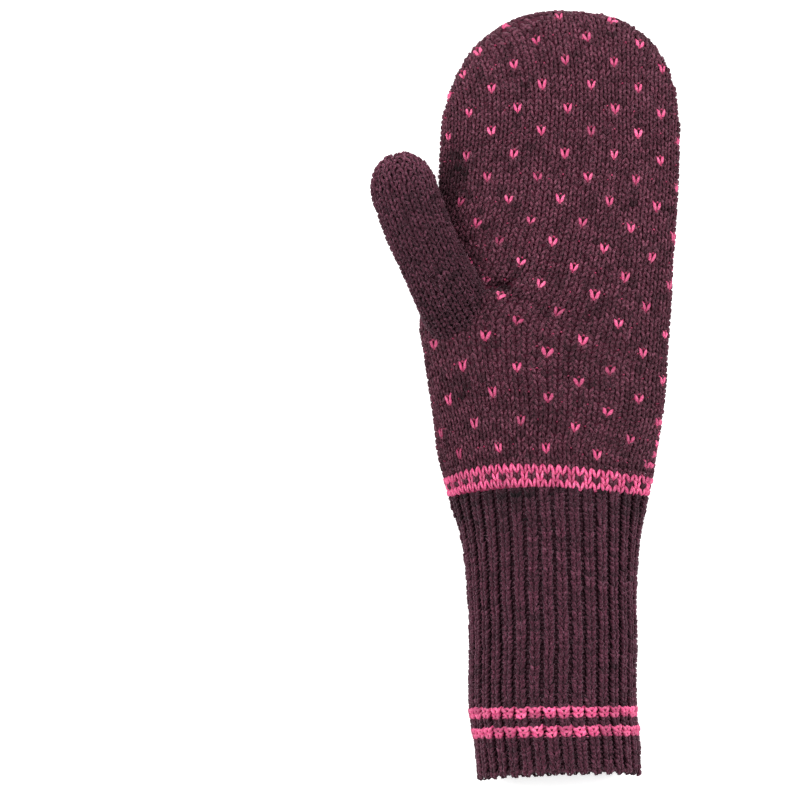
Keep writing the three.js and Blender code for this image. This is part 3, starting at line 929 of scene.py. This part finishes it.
# Darker copy of the pink for pink yarn that lies deep behind stitches: painted shade.
SHADED_PINK = wool_material(
    "pink wool half hidden, painted shade", (0.24, 0.021, 0.064), (0.38, 0.075, 0.14), (0.14, 0.011, 0.036), 0.4, **DULL
)
BEHIND = wool_material(
    "plum wool behind the stitches",
    (0.050, 0.0060, 0.016), (0.095, 0.020, 0.038), (0.010, 0.003, 0.005), 0.4, **DULL,
)
DEEP_BEHIND = wool_material(
    "plum wool inside ribs and thumb",
    (0.022, 0.0040, 0.0085), (0.05, 0.016, 0.026), (0.010, 0.003, 0.005), 0.4, **DULL,
)
LOOSE = wool_material(
    "loose plum fibres", (0.14, 0.050, 0.075), (0.28, 0.14, 0.19), (0.14, 0.050, 0.075), 0.5,
    hollow_shade_depth=0.0, tint=(0.95, 0.75, 0.85),
)
print("materials:", [material.name for material in bpy.data.materials])

# %% [markdown]
# ## From numbers to stitches
# A stitch needs a place, a direction along its wale, a direction across, and its own width and height.
# The surface functions give all of these when they are asked a little to each side. Hands are not
# machines, so each stitch is also moved, turned and sized by a tiny random amount with a fixed seed. The
# floor holds the lowest stitches up, so that none of them goes through it.

# %% Stitch placing
FLOOR_REST = 1.65
PROBE = 0.25
LEAN_SPREAD = 0.085
PLACE_SPREAD = 0.11
SIZE_SPREAD = 0.065
SIZE_LIMITS = (0.6, 1.45)
JUMP = 1.5


def unit(vectors):
    return vectors / np.maximum(np.linalg.norm(vectors, axis=1, keepdims=True), 1e-9)


def step_across(ahead, behind):
    """Mean of the steps to both sides, or the short one where the surface ends on one side."""
    long, short = (np.linalg.norm(step, axis=1, keepdims=True) for step in (ahead, behind))
    mean = (ahead + behind) / 2
    return np.where(long > JUMP * short, behind, np.where(short > JUMP * long, ahead, mean))


def stitch_set(place, columns, rows, seed, scale=(1.0, 1.0, 1.0), thickness=1.0):
    """Places, turns, sizes and tones of the stitches at column and row numbers on one surface."""
    columns, rows = np.asarray(columns, float), np.asarray(rows, float)
    middle = place(columns, rows)
    across = step_across(place(columns + PROBE, rows) - middle, middle - place(columns - PROBE, rows))
    along = step_across(place(columns, rows + PROBE) - middle, middle - place(columns, rows - PROBE))
    width, height = (np.linalg.norm(step, axis=1) / PROBE for step in (across, along))
    up = unit(along)
    side = unit(across - up * (across * up).sum(axis=1, keepdims=True))
    out = np.cross(side, up)
    random = np.random.default_rng(seed)
    up = unit(up + side * random.normal(0, LEAN_SPREAD, len(middle))[:, None])
    middle = middle + random.normal(0, PLACE_SPREAD, middle.shape)
    middle[:, 2] = np.maximum(middle[:, 2], FLOOR_REST)
    size = np.stack([width / STITCH_WIDTH, height / STITCH_HEIGHT, np.full(len(width), thickness)], axis=1)
    stretch = np.abs(np.log(np.maximum(size[:, :2], 0.01))).max(axis=1)
    size = np.clip(size, *SIZE_LIMITS) * np.asarray(scale) * random.normal(1, SIZE_SPREAD, size.shape)
    return SimpleNamespace(
        place=middle, side=np.cross(up, out), up=up, out=out, size=size, stretch=stretch,
        tone=random.normal(0, 1, len(middle)),
    )


def grid(columns, rows):
    """Column and row number of every stitch in a rectangle of them."""
    return (numbers.ravel() for numbers in np.meshgrid(columns, rows))


def chosen(stitches, mask):
    return SimpleNamespace(**{key: value[mask] for key, value in vars(stitches).items()})


def joined(*sets):
    keys = vars(sets[0])
    return SimpleNamespace(**{key: np.concatenate([vars(one)[key] for one in sets]) for key in keys})


# %% Stitches made


def make_stitches(name, stitches, tree, yarn):
    """One mesh piece of all stitches of a set, made by the tree and then freed from it."""
    mesh = bpy.data.meshes.new(name)
    mesh.from_pydata(in_metres(stitches.place).tolist(), [], [])
    turns = np.array([
        Matrix((side, up, out)).transposed().to_euler()
        for side, up, out in zip(stitches.side, stitches.up, stitches.out)
    ])
    for label, kind, values in (
        ("turn", "FLOAT_VECTOR", turns),
        ("size", "FLOAT_VECTOR", stitches.size),
        ("tone", "FLOAT", stitches.tone),
    ):
        field = "vector" if kind == "FLOAT_VECTOR" else "value"
        mesh.attributes.new(label, kind, "POINT").data.foreach_set(field, np.ravel(values).astype(np.float32))
    points = bpy.data.objects.new(name + "_points", mesh)
    bpy.context.scene.collection.objects.link(points)
    modifier = points.modifiers.new("stitches", "NODES")
    modifier.node_group = tree
    for item in tree.interface.items_tree:
        if item.in_out == "INPUT" and item.name == "Yarn":
            modifier[item.identifier] = yarn
    evaluated = points.evaluated_get(bpy.context.evaluated_depsgraph_get())
    made = bpy.data.meshes.new_from_object(evaluated)
    made.name = name
    piece = bpy.data.objects.new(name, made)
    bpy.context.scene.collection.objects.link(piece)
    bpy.data.objects.remove(points)
    bpy.data.meshes.remove(mesh)
    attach(piece, "root")
    triangles = sum(len(face.vertices) - 2 for face in made.polygons)
    print(f"{name}: {len(stitches.place)} stitches, {triangles} triangles")


# %% [markdown]
# ## The palm
# The palm is plum with single pink stitches in every fourth row, each row's flecks half a step aside from
# the last. The pattern is a rule and needs no chart: the wale number and the row number decide. Beside the
# thumb's root the fabric folds into a small deep pit, and beside its tip the palm lies in its deep shade.
# Soft studio light doesn't make such places dark enough, so their stitches are given a darker tone, and the
# lower palm a slightly darker one.

# %% Palm stitches and flecks
PIT_MIDDLE, PIT_REACH, PIT_SHADE = (-22.9, 77.3), (4.7, 1.8), 4.5
TIP_SHADE_MIDDLE, TIP_SHADE_REACH, TIP_SHADE = (-39.8, 121.5), (6.0, 11.0), 3.4
LOW_SHADE = 0.80
LOW_SHADE_RAMP = (0.52, 0.32)
WHOLE_OUTLINE, TIP_OUTLINE = 0.5, 0.492
STRETCH_LIMIT = 0.75
FLECK_ROWS, FLECK_STEP, FIRST_FLECK_ROW = 20, 4, 5
HIDDEN_SHARE, THUMB_END_ROW = 0.055, 62

palm_rows = int(ROW_HEIGHTS["palm"][0][-1])
palm_wales, palm_row_grid = grid(np.arange(-16, 17), np.arange(BAND_ROWS, palm_rows))


def hand_points(wale, row):
    return hand_place(wale, row)[0]


def on_surface(share, at):
    """True where a wale is not cut off by the round outline of the fingertips."""
    return np.abs(share - 0.5) < np.where(at < TIP_START, WHOLE_OUTLINE, TIP_OUTLINE)


def distance_squared(stitches, middle, reach):
    return (((stitches.place[:, :2] - middle) / reach) ** 2).sum(axis=1)


palm = stitch_set(hand_points, palm_wales, palm_row_grid + 0.5, seed=11, thickness=1.07)
palm_at = np.interp(palm_row_grid + 0.5, *ROW_HEIGHTS["palm"]) / HAND_LENGTH
palm.tone -= PIT_SHADE * np.exp(-(distance_squared(palm, PIT_MIDDLE, PIT_REACH) ** 2))
palm.tone -= TIP_SHADE * np.exp(-distance_squared(palm, TIP_SHADE_MIDDLE, TIP_SHADE_REACH))
palm.tone -= LOW_SHADE * ramp(palm_at, *LOW_SHADE_RAMP)
share = hand_place(palm_wales, palm_row_grid + 0.5)[1]
inside_palm = on_surface(share, palm_at) & (palm.stretch < STRETCH_LIMIT)
fleck_number, between_flecks = np.divmod(palm_row_grid - FIRST_FLECK_ROW, FLECK_STEP)
in_fleck_row = (between_flecks == 0) & (fleck_number >= 0) & (fleck_number < FLECK_ROWS)
is_fleck = in_fleck_row & np.where(fleck_number % 2 == 1, palm_wales % 6 == 1, palm_wales % 6 == 4)
is_fleck &= (share > HIDDEN_SHARE) | (palm_row_grid > THUMB_END_ROW)
make_stitches("palm_stitches", chosen(palm, inside_palm & ~is_fleck), KNIT_TREE, PLUM)
flecks = chosen(palm, inside_palm & is_fleck)
flecks.size *= (1.06, 1.28, 0.93)
make_stitches("palm_flecks", flecks, KNIT_TREE, PINK)

# %% [markdown]
# The pink strand does not end at a fleck. Its loop shows a little between the two legs and under them, and
# behind the row it runs on to the next fleck, where it glints through between some of the stitches.

# %% Pink strand behind the palm


def sunken(stitches, side, up, depth, scale):
    """Small bars at one place of each stitch, moved in the stitch's own directions in millimetres."""
    made = SimpleNamespace(**vars(stitches))
    made.place = stitches.place + stitches.side * side + stitches.up * up - stitches.out * depth
    made.size = stitches.size * np.asarray(scale)
    return made


fleck_heads = sunken(flecks, 0.0, 1.45, -0.25, (0.36, 0.55, 0.75))
fleck_feet = sunken(flecks, 0.0, -2.25, -0.10, (0.40, 0.42, 0.65))
random = np.random.default_rng(12)
glint_share = np.interp(palm_row_grid, [3, 25, 40, 80], [0.55, 0.45, 0.30, 0.25])
is_glint = in_fleck_row & inside_palm & ~is_fleck & (random.random(len(palm_row_grid)) < glint_share)
glinting = chosen(palm, is_glint)
between = random.random((len(glinting.place), 1)) < 0.5
glint_side, glint_up = np.where(between, STITCH_WIDTH / 2, 0.0), np.where(between, -1.0, 0.8)
glints = sunken(glinting, glint_side, glint_up, -0.15, (0.26, 0.55, 0.75))
strands = joined(fleck_heads, fleck_feet, glints)
# The strand's pieces get the darker pink of painted shade.
make_stitches("palm_strands", strands, PURL_TREE, SHADED_PINK)

# %% [markdown]
# ## The band at the wrist
# Three rows: pink, then pink and plum in turn, then pink. They go all round, so the same rule is used on
# the palm and on the back.

# %% Wrist band
band_wales, band_rows = grid(np.arange(-16, 50), np.arange(BAND_ROWS))
band = stitch_set(hand_points, band_wales, band_rows + 0.5, seed=21)
plum_gap = (band_rows == 1) & (band_wales % 2 == 0)
make_stitches("wrist_band_pink", chosen(band, ~plum_gap), KNIT_TREE, PINK)
make_stitches("wrist_band_plum", chosen(band, plum_gap), KNIT_TREE, PLUM)

# %% [markdown]
# ## The back of the hand
# The back has a traditional pattern: two eight-petalled roses between rows of small diamonds. A petal is
# a slanting block of stitches, so a rose is a rule too: in each eighth of it, a row starts one stitch
# further out than the last.

# %% Back pattern
EDGE_SLOPE_START = 0.80
CHAIN_ROOM = 7.0
ROSE_ROWS, ROSE_PETAL = (26, 57), 6
DIAMOND_ROWS, DIAMOND_WIDTH = (9, 42, 74), 8
DOTTED_ROWS = (5, 13, 38, 46, 70, 78)


def rose(across, up, petal):
    """True on the stitches of an eight-petalled rose round its middle."""
    a, b = abs(across), abs(up)
    low, high = np.minimum(a, b), np.maximum(a, b)
    return (low >= 1) & (low <= petal) & (high >= low + 1) & (high <= low + petal)


def small_diamond(across, up, reach):
    return (abs(across) + abs(up)) == reach


back_rows = int(ROW_HEIGHTS["back"][0][-1])
back_wales, back_row_grid = grid(np.arange(-16, 17), np.arange(BAND_ROWS, back_rows))
back = stitch_set(hand_points, back_wales + WALES, back_row_grid + 0.5, seed=31)
share = hand_place(back_wales + WALES, back_row_grid + 0.5)[1]
back_at = np.interp(back_row_grid + 0.5, *ROW_HEIGHTS["back"]) / HAND_LENGTH
back_length = turn_at_share(back_point, hand_section(back_at), 0 * share + 0.5)[1]
inside_back = on_surface(share, back_at) & (back.stretch < STRETCH_LIMIT)
inside_back &= (np.minimum(share, 1 - share) * back_length > CHAIN_ROOM) | (back_at < EDGE_SLOPE_START)

is_pink = np.isin(back_row_grid, DOTTED_ROWS) & (back_wales % 2 == 0)
for middle_row in ROSE_ROWS:
    is_pink |= rose(back_wales, back_row_grid - middle_row, ROSE_PETAL)
diamond_step = (back_wales + DIAMOND_WIDTH // 2) % DIAMOND_WIDTH - DIAMOND_WIDTH // 2
for middle_row in DIAMOND_ROWS:
    for reach in (0, 2):
        is_pink |= small_diamond(diamond_step, back_row_grid - middle_row, reach)
make_stitches("back_stitches", chosen(back, inside_back & ~is_pink), KNIT_TREE, PLUM)
make_stitches("back_pattern", chosen(back, inside_back & is_pink), KNIT_TREE, PINK)

# %% [markdown]
# ## The edge round the fingertips
# Where the round outline cuts the wales, palm and back are joined by stitches that follow the edge. They
# are chains of V stitches that lie on their side: one on the edge itself and two under it, where the back
# turns up steeply. Some more fill the places over the edge that the palm's last stitches leave bare. One
# stitch of the chain is pink, because a fleck of the palm's pattern falls on the edge there.

# %% Fingertip edge
EDGE_STEP = 2.4
EDGE_WIDTH = 2.9
EDGE_INSET = STITCH_INSET + 0.4
EDGE_STRETCH_LIMIT = 0.9
PALM_ROOM = 1.5
EDGE_FLECK = np.array([-20.3, 179.0])
thumb_side_at = tip_stations(TIP_START - 0.04, TIP_START, FINGERTIP_ROUNDNESS, 8, 60)
edge_at = np.concatenate([thumb_side_at, thumb_side_at[::-1]])
edge_section = hand_section(edge_at, EDGE_INSET)
edge_x = edge_section.middle + edge_section.half * np.repeat([-1, 1], len(thumb_side_at))
edge_length = length_along(np.stack([edge_x, edge_section.y, edge_section.side], axis=-1))


def edge_place(column, row):
    """Points round the fingertips: rows follow the edge, and columns go from the back over it to the palm."""
    column, along = np.asarray(column, float), np.asarray(row, float) * EDGE_STEP
    section = hand_section(np.interp(along, edge_length, edge_at), EDGE_INSET)
    at_thumb = along < edge_length[len(thumb_side_at) - 1]
    faces = []
    for curve, thumb_start, away in ((back_point, 1.0, -column), (crown_point, 0.0, column)):
        _, length = turn_at_share(curve, section, 0 * along + 0.5)
        share = np.clip(away * EDGE_WIDTH / length, 0, 0.5)
        start = np.where(at_thumb, thumb_start, 1 - thumb_start)
        turn, _ = turn_at_share(curve, section, np.abs(start - share))
        faces.append(np.stack(curve(section, turn), axis=-1))
    return np.where((column < 0)[:, None], *faces)


edge_columns, edge_rows = grid([1, 0, -1, -2], np.arange(int(edge_length[-1] / EDGE_STEP)))
edge = stitch_set(edge_place, edge_columns, edge_rows + 0.5, seed=41)
on_slope = np.interp((edge_rows + 0.5) * EDGE_STEP, edge_length, edge_at) > EDGE_SLOPE_START
palm_gap = np.linalg.norm(edge.place[:, None] - palm.place[inside_palm], axis=2).min(axis=1)
wanted = (edge_columns == 0) | (on_slope & ((edge_columns < 0) | (palm_gap > PALM_ROOM)))
edge = chosen(edge, (edge.stretch < EDGE_STRETCH_LIMIT) & wanted)
fleck_gap = np.linalg.norm(edge.place[:, :2] - EDGE_FLECK, axis=1)
is_edge_fleck = fleck_gap == fleck_gap.min()
make_stitches("fingertip_edge", chosen(edge, ~is_edge_fleck), KNIT_TREE, PLUM)
make_stitches("fingertip_fleck", chosen(edge, is_edge_fleck), KNIT_TREE, PINK)

# %% [markdown]
# ## The thumb
# The thumb's rounds have 24 stitches up to its round tip, and fewer and fewer over it. Stitches that
# would lie inside the hand are left out, which gives the line where the thumb grows out of the palm. The
# tip's stitches are given a lighter tone, a painted highlight for the stronger light on the tip.

# %% Thumb surface
thumb_at = tip_stations(0.0, THUMB_TIP_START, 2, 60, 60)
thumb_arc = length_along(thumb_place(thumb_at, np.pi / 2))
ring_turns = np.linspace(0, 2 * np.pi, 181)


def thumb_surface(count):
    """Function from stitch number round the thumb and row number to a point on it."""

    def place(column, row):
        at = np.interp(row * ROW, thumb_arc, thumb_at)
        turns = []
        for one_at, one_column in zip(at, column):
            length = length_along(thumb_place(one_at, ring_turns))
            turns.append(np.interp((-one_column / count) % 1.0 * length[-1], length, ring_turns))
        return thumb_place(at, np.array(turns))

    return place


def above_palm(points):
    """True where points are outside the hand's surface, or barely in it, or beside its outline."""
    x, y, z = points.T
    section = hand_section(y / HAND_LENGTH)
    across = (x - section.middle) / section.half
    rise = np.sqrt(np.maximum(1 - across**2, 0))
    top = section.side + (section.crown + fold_lift(x, y)) * rise
    bottom = section.side * (1 - rise)
    return (np.abs(across) >= 1) | (z > top - ROOT_DEPTH) | (z < bottom + ROOT_DEPTH)


# %% Thumb stitches
ROOT_DEPTH = 0.4
SMALLEST_ROUND = 5
STITCH_ROOM = 3.2
TIP_HIGHLIGHT = 5.0
TIP_HIGHLIGHT_RAMP = (0.72, 0.97)

thumb_sets = []
thumb_rounds = int(thumb_arc[-1] / ROW)
for number in range(thumb_rounds):
    ring = thumb_place(np.interp((number + 0.5) * ROW, thumb_arc, thumb_at), ring_turns)
    count = min(THUMB_STITCHES, max(SMALLEST_ROUND, round(length_along(ring)[-1] / STITCH_ROOM)))
    rows = np.full(count, number + 0.5)
    one = stitch_set(thumb_surface(count), np.arange(count), rows, seed=50 + number, thickness=1.08)
    # Painted highlight: the stitches near the tip get a lighter tone.
    one.tone += TIP_HIGHLIGHT * ramp(number / thumb_rounds, *TIP_HIGHLIGHT_RAMP)
    thumb_sets.append(one)
thumb = joined(*thumb_sets)
thumb = chosen(thumb, above_palm(thumb.place))
print("thumb out direction:", thumb.out[:3].round(2).tolist())
make_stitches("thumb_stitches", thumb, KNIT_TREE, SHADED_THUMB_PLUM)

# %% [markdown]
# ## The cuff
# V stitches stand on the ribs and purl bumps lie across the valleys between them. Rows are counted from
# the wrist down. Two pairs of rows near the lower end are pink. Inside each V the next yarn shows, so the
# ribs look like full round ropes, and small bars make it. Beside a pink pair of rows, the pink purl bumps
# move out above and below it, as purl bumps of a new colour do.

# %% Rib and valley stitches
STRIPE_ROWS = [CUFF_ROWS - 1 - row for row in (8, 9, 12, 13)]
VALLEY_INSET = STITCH_INSET + RIB_HEIGHT - 0.2
VALLEY_SHADE = 1.6
CUFF_SHADE, CUFF_SHADE_ROWS, CUFF_SHADE_REACH = 1.3, 14, 20.0
rib_numbers, cuff_row_grid = grid(np.arange(RIB_COUNT), np.arange(CUFF_ROWS))


def cuff_points(inset):
    """Function to points of the cuff. Its rows count downwards, so the wale's direction is turned round."""
    return lambda rib, row: cuff_place(rib, -row, inset)


minus_rows = -(cuff_row_grid + 0.5)
ribs = stitch_set(cuff_points(STITCH_INSET), rib_numbers, minus_rows, seed=61, scale=(0.84, 1.14, 1.12))
valleys = stitch_set(
    cuff_points(VALLEY_INSET), rib_numbers + 0.5, minus_rows, seed=62, scale=(0.48, 1.0, 1.05)
)
# Painted shade: the purl bumps deep in the valleys get a darker tone.
valleys.tone -= VALLEY_SHADE
# Painted shade: the ribs just below the band get a darker tone, up to twice as dark on the left side.
below_band = ramp(cuff_row_grid, CUFF_SHADE_ROWS, 0)
ribs.tone -= CUFF_SHADE * below_band * (1 + ramp(ribs.place[:, 0], 0, -CUFF_SHADE_REACH))
in_stripe = np.isin(cuff_row_grid, STRIPE_ROWS)
plum_ribs, plum_valleys = chosen(ribs, ~in_stripe), chosen(valleys, ~in_stripe)
rib_cores = sunken(plum_ribs, 0.0, 0.3, 0.75, (0.74, 0.80, 0.95))

# %% Cuff stripes
upper_row = np.isin(cuff_row_grid[in_stripe], STRIPE_ROWS[1::2])[:, None]
rib_stripes, valley_stripes = chosen(ribs, in_stripe), chosen(valleys, in_stripe)
valley_floors = sunken(valley_stripes, 0.0, 0.0, 0.1, (1.15, 1.0, 1.1))
# The valleys' painted shade is taken off the stripe floors again.
valley_floors.tone = valley_floors.tone + VALLEY_SHADE
rib_stripes.size *= np.where(upper_row, 1.0, 0.88) * np.array([1.26, 1.06, 1.24])
valley_stripes.size *= np.where(upper_row, 1.0, 0.75) * np.array([1.05, 0.85, 0.90])
valley_stripes.place += valley_stripes.up * np.where(upper_row, 1.1, -1.0) + valley_stripes.out * 0.35
stripe_cores = sunken(rib_stripes, 0.0, 0.5, 0.2, (0.74, 1.35, 1.05))
for name, stitches, tree, yarn, slot in (
    ("cuff_ribs", plum_ribs, KNIT_TREE, SHADED_CUFF_PLUM, "plum_yarn"),
    ("cuff_rib_stripes", rib_stripes, KNIT_TREE, PINK, "pink_yarn"),
    ("cuff_valleys", plum_valleys, PURL_TREE, SHADED_CUFF_PLUM, "plum_yarn"),
    ("cuff_valley_stripes", valley_stripes, PURL_TREE, PINK, "pink_yarn"),
    ("cuff_stripe_floors", valley_floors, PURL_TREE, SHADED_PINK, "pink_yarn"),
    ("cuff_rib_cores", rib_cores, PURL_TREE, SHADED_CUFF_PLUM, "plum_yarn"),
    ("cuff_stripe_cores", stripe_cores, PURL_TREE, PINK, "pink_yarn"),
):
    make_stitches(name, stitches, tree, yarn)

# %% [markdown]
# The cuff's lower end is open, so its cast-on edge and the first rows of its inside show from below. The
# edge is a chain of stitches that lies on the rim. Inside, what is a valley from outside is a knit wale.

# %% Cuff rim and inside
RIM_STITCHES = 3 * RIB_COUNT
RIM_ROW = CUFF_ROWS - 0.8
RIM_INSET, RIM_WIDTH = 1.9, 2.6
INSIDE_ROWS = 14


def rim_place(column, row):
    """Points on the rim: rows run round it, and columns stand across the wall of the cuff."""
    inset = RIM_INSET + np.asarray(column, float) * RIM_WIDTH
    return cuff_place(np.asarray(row, float) * RIB_COUNT / RIM_STITCHES, 0 * inset + RIM_ROW, inset)


def inside_place(rib, row):
    return cuff_place(-rib, -row, CUFF_INNER_WALL)


rim_numbers = np.arange(RIM_STITCHES)
rim = stitch_set(rim_place, 0 * rim_numbers, rim_numbers, seed=63, scale=(1.0, 1.12, 1.12))
make_stitches("cuff_rim", rim, KNIT_TREE, SHADED_CUFF_PLUM)
lining_ribs, lining_rows = grid(np.arange(RIB_COUNT), np.arange(CUFF_ROWS - INSIDE_ROWS, CUFF_ROWS))
lining = stitch_set(inside_place, lining_ribs + 0.5, -(lining_rows + 0.5), seed=64, scale=(0.74, 1.08, 1.0))
print("rim faces down:", rim.out[0].round(2).tolist(), "inside faces in:", lining.out[0].round(2).tolist())
make_stitches("cuff_inside", lining, KNIT_TREE, SHADED_CUFF_PLUM)

# %% [markdown]
# ## Loose fibres
# Each fibre starts on a stitch picked at random and lies down in a random direction. Underneath, where
# the mitten lies on the floor, the fibres are pressed flat and none are made.

# %% Loose fibres


def loose_fibres(name, stitches, count, seed):
    random = np.random.default_rng(seed)
    upper = np.flatnonzero(stitches.out[:, 2] > -0.5)
    picked = chosen(stitches, random.choice(upper, count))
    turn = random.uniform(0, 2 * np.pi, (count, 1))
    side = picked.side * np.cos(turn) + picked.up * np.sin(turn)
    picked.up = np.cross(picked.out, side)
    picked.side = side
    picked.place = picked.place + side * random.uniform(-1.2, 1.2, (count, 1)) + picked.out * 0.1
    picked.size = random.uniform(0.55, 1.4, (count, 1)) * random.uniform(0.7, 1.3, (count, 3))
    make_stitches(name, picked, FIBRE_TREE, LOOSE)


# The edge counts twice, because most loose fibres show at the outline.
loose_fibres("palm_fibres", joined(chosen(palm, inside_palm), band, edge, edge), 3000, seed=71)
loose_fibres("thumb_fibres", thumb, 700, seed=73)
loose_fibres("cuff_fibres", ribs, 2000, seed=74)

# %% [markdown]
# ## Put the pieces on the frame
# The dark shells take the places of the plain solids, which stay hidden and carry the collision shapes.

# %% Fabric shells on the frame
for piece, node_name, finish, slot in (
    (hand_fabric, "hand", BEHIND, "plum_yarn"),
    (thumb_fabric, "thumb", DEEP_BEHIND, "plum_yarn"),
    (band_fabric, "wrist_band", SHADED_PINK, "pink_yarn"),
    (cuff_fabric, "cuff", DEEP_BEHIND, "plum_yarn"),
):
    piece.data.materials.append(finish)
    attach(piece, "root")
    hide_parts(node_name)
    print(piece.name, "stands for", node_name)

# %% [markdown]
# ## Floor, light and camera
# The floor is a plain white light table, as for catalogue pictures: it glows a little, so there is hardly
# a shadow on it and the mitten's outline gets a soft light edge. Two large lamps stand at the sides. The
# camera looks straight down with a long lens, and the mitten lies right of the middle of the picture.

# %% Floor
floor_mesh = bpy.data.meshes.new("floor")
floor_mesh.from_pydata([(-4, -4, 0), (4, -4, 0), (4, 4, 0), (-4, 4, 0)], [], [(0, 1, 2, 3)])
floor = bpy.data.objects.new("floor", floor_mesh)
bpy.context.scene.collection.objects.link(floor)
table_glass = bpy.data.materials.new("white light table")
table_glass.use_nodes = True
table_shader = table_glass.node_tree.nodes["Principled BSDF"]
table_shader.inputs["Base Color"].default_value = (0.88, 0.88, 0.88, 1)
table_shader.inputs["Roughness"].default_value = 0.9
table_shader.inputs["Emission Color"].default_value = (1.0, 1.0, 1.0, 1)
table_shader.inputs["Emission Strength"].default_value = 0.56
floor_mesh.materials.append(table_glass)

# %% Lights


def soft_lamp(name, place, size, power):
    """Square lamp that looks at the mitten's middle."""
    data = bpy.data.lights.new(name, "AREA")
    data.size = size
    data.energy = power
    lamp = bpy.data.objects.new(name, data)
    lamp.location = place
    lamp.rotation_euler = (Vector((0, 0, 0.02)) - Vector(place)).to_track_quat("-Z", "Y").to_euler()
    bpy.context.scene.collection.objects.link(lamp)


soft_lamp("lamp_left", (-1.05, 0.50, 1.15), 1.1, 32)
soft_lamp("lamp_right", (1.10, 0.45, 1.10), 1.1, 31)
world = bpy.data.worlds.new("studio")
world.use_nodes = True
world.node_tree.nodes["Background"].inputs["Color"].default_value = (1, 1, 1, 1)
world.node_tree.nodes["Background"].inputs["Strength"].default_value = 0.53
bpy.context.scene.world = world
bpy.context.scene.view_settings.view_transform = "Standard"

# %% Camera
VIEW_WIDTH = 310.3 * MM
VIEW_MIDDLE = (-48.6 * MM, -2.8 * MM)
CAMERA_HEIGHT = 2.6
SENSOR_WIDTH = 36
MITTEN_MIDDLE_HEIGHT = 0.022
camera_data = bpy.data.cameras.new("camera")
camera_data.sensor_width = SENSOR_WIDTH
camera_data.lens = SENSOR_WIDTH * (CAMERA_HEIGHT - MITTEN_MIDDLE_HEIGHT) / VIEW_WIDTH
camera_data.clip_end = 20
camera = bpy.data.objects.new("camera", camera_data)
camera.location = (*VIEW_MIDDLE, CAMERA_HEIGHT)
bpy.context.scene.collection.objects.link(camera)
bpy.context.scene.camera = camera
print("lens, mm:", round(camera_data.lens, 1))
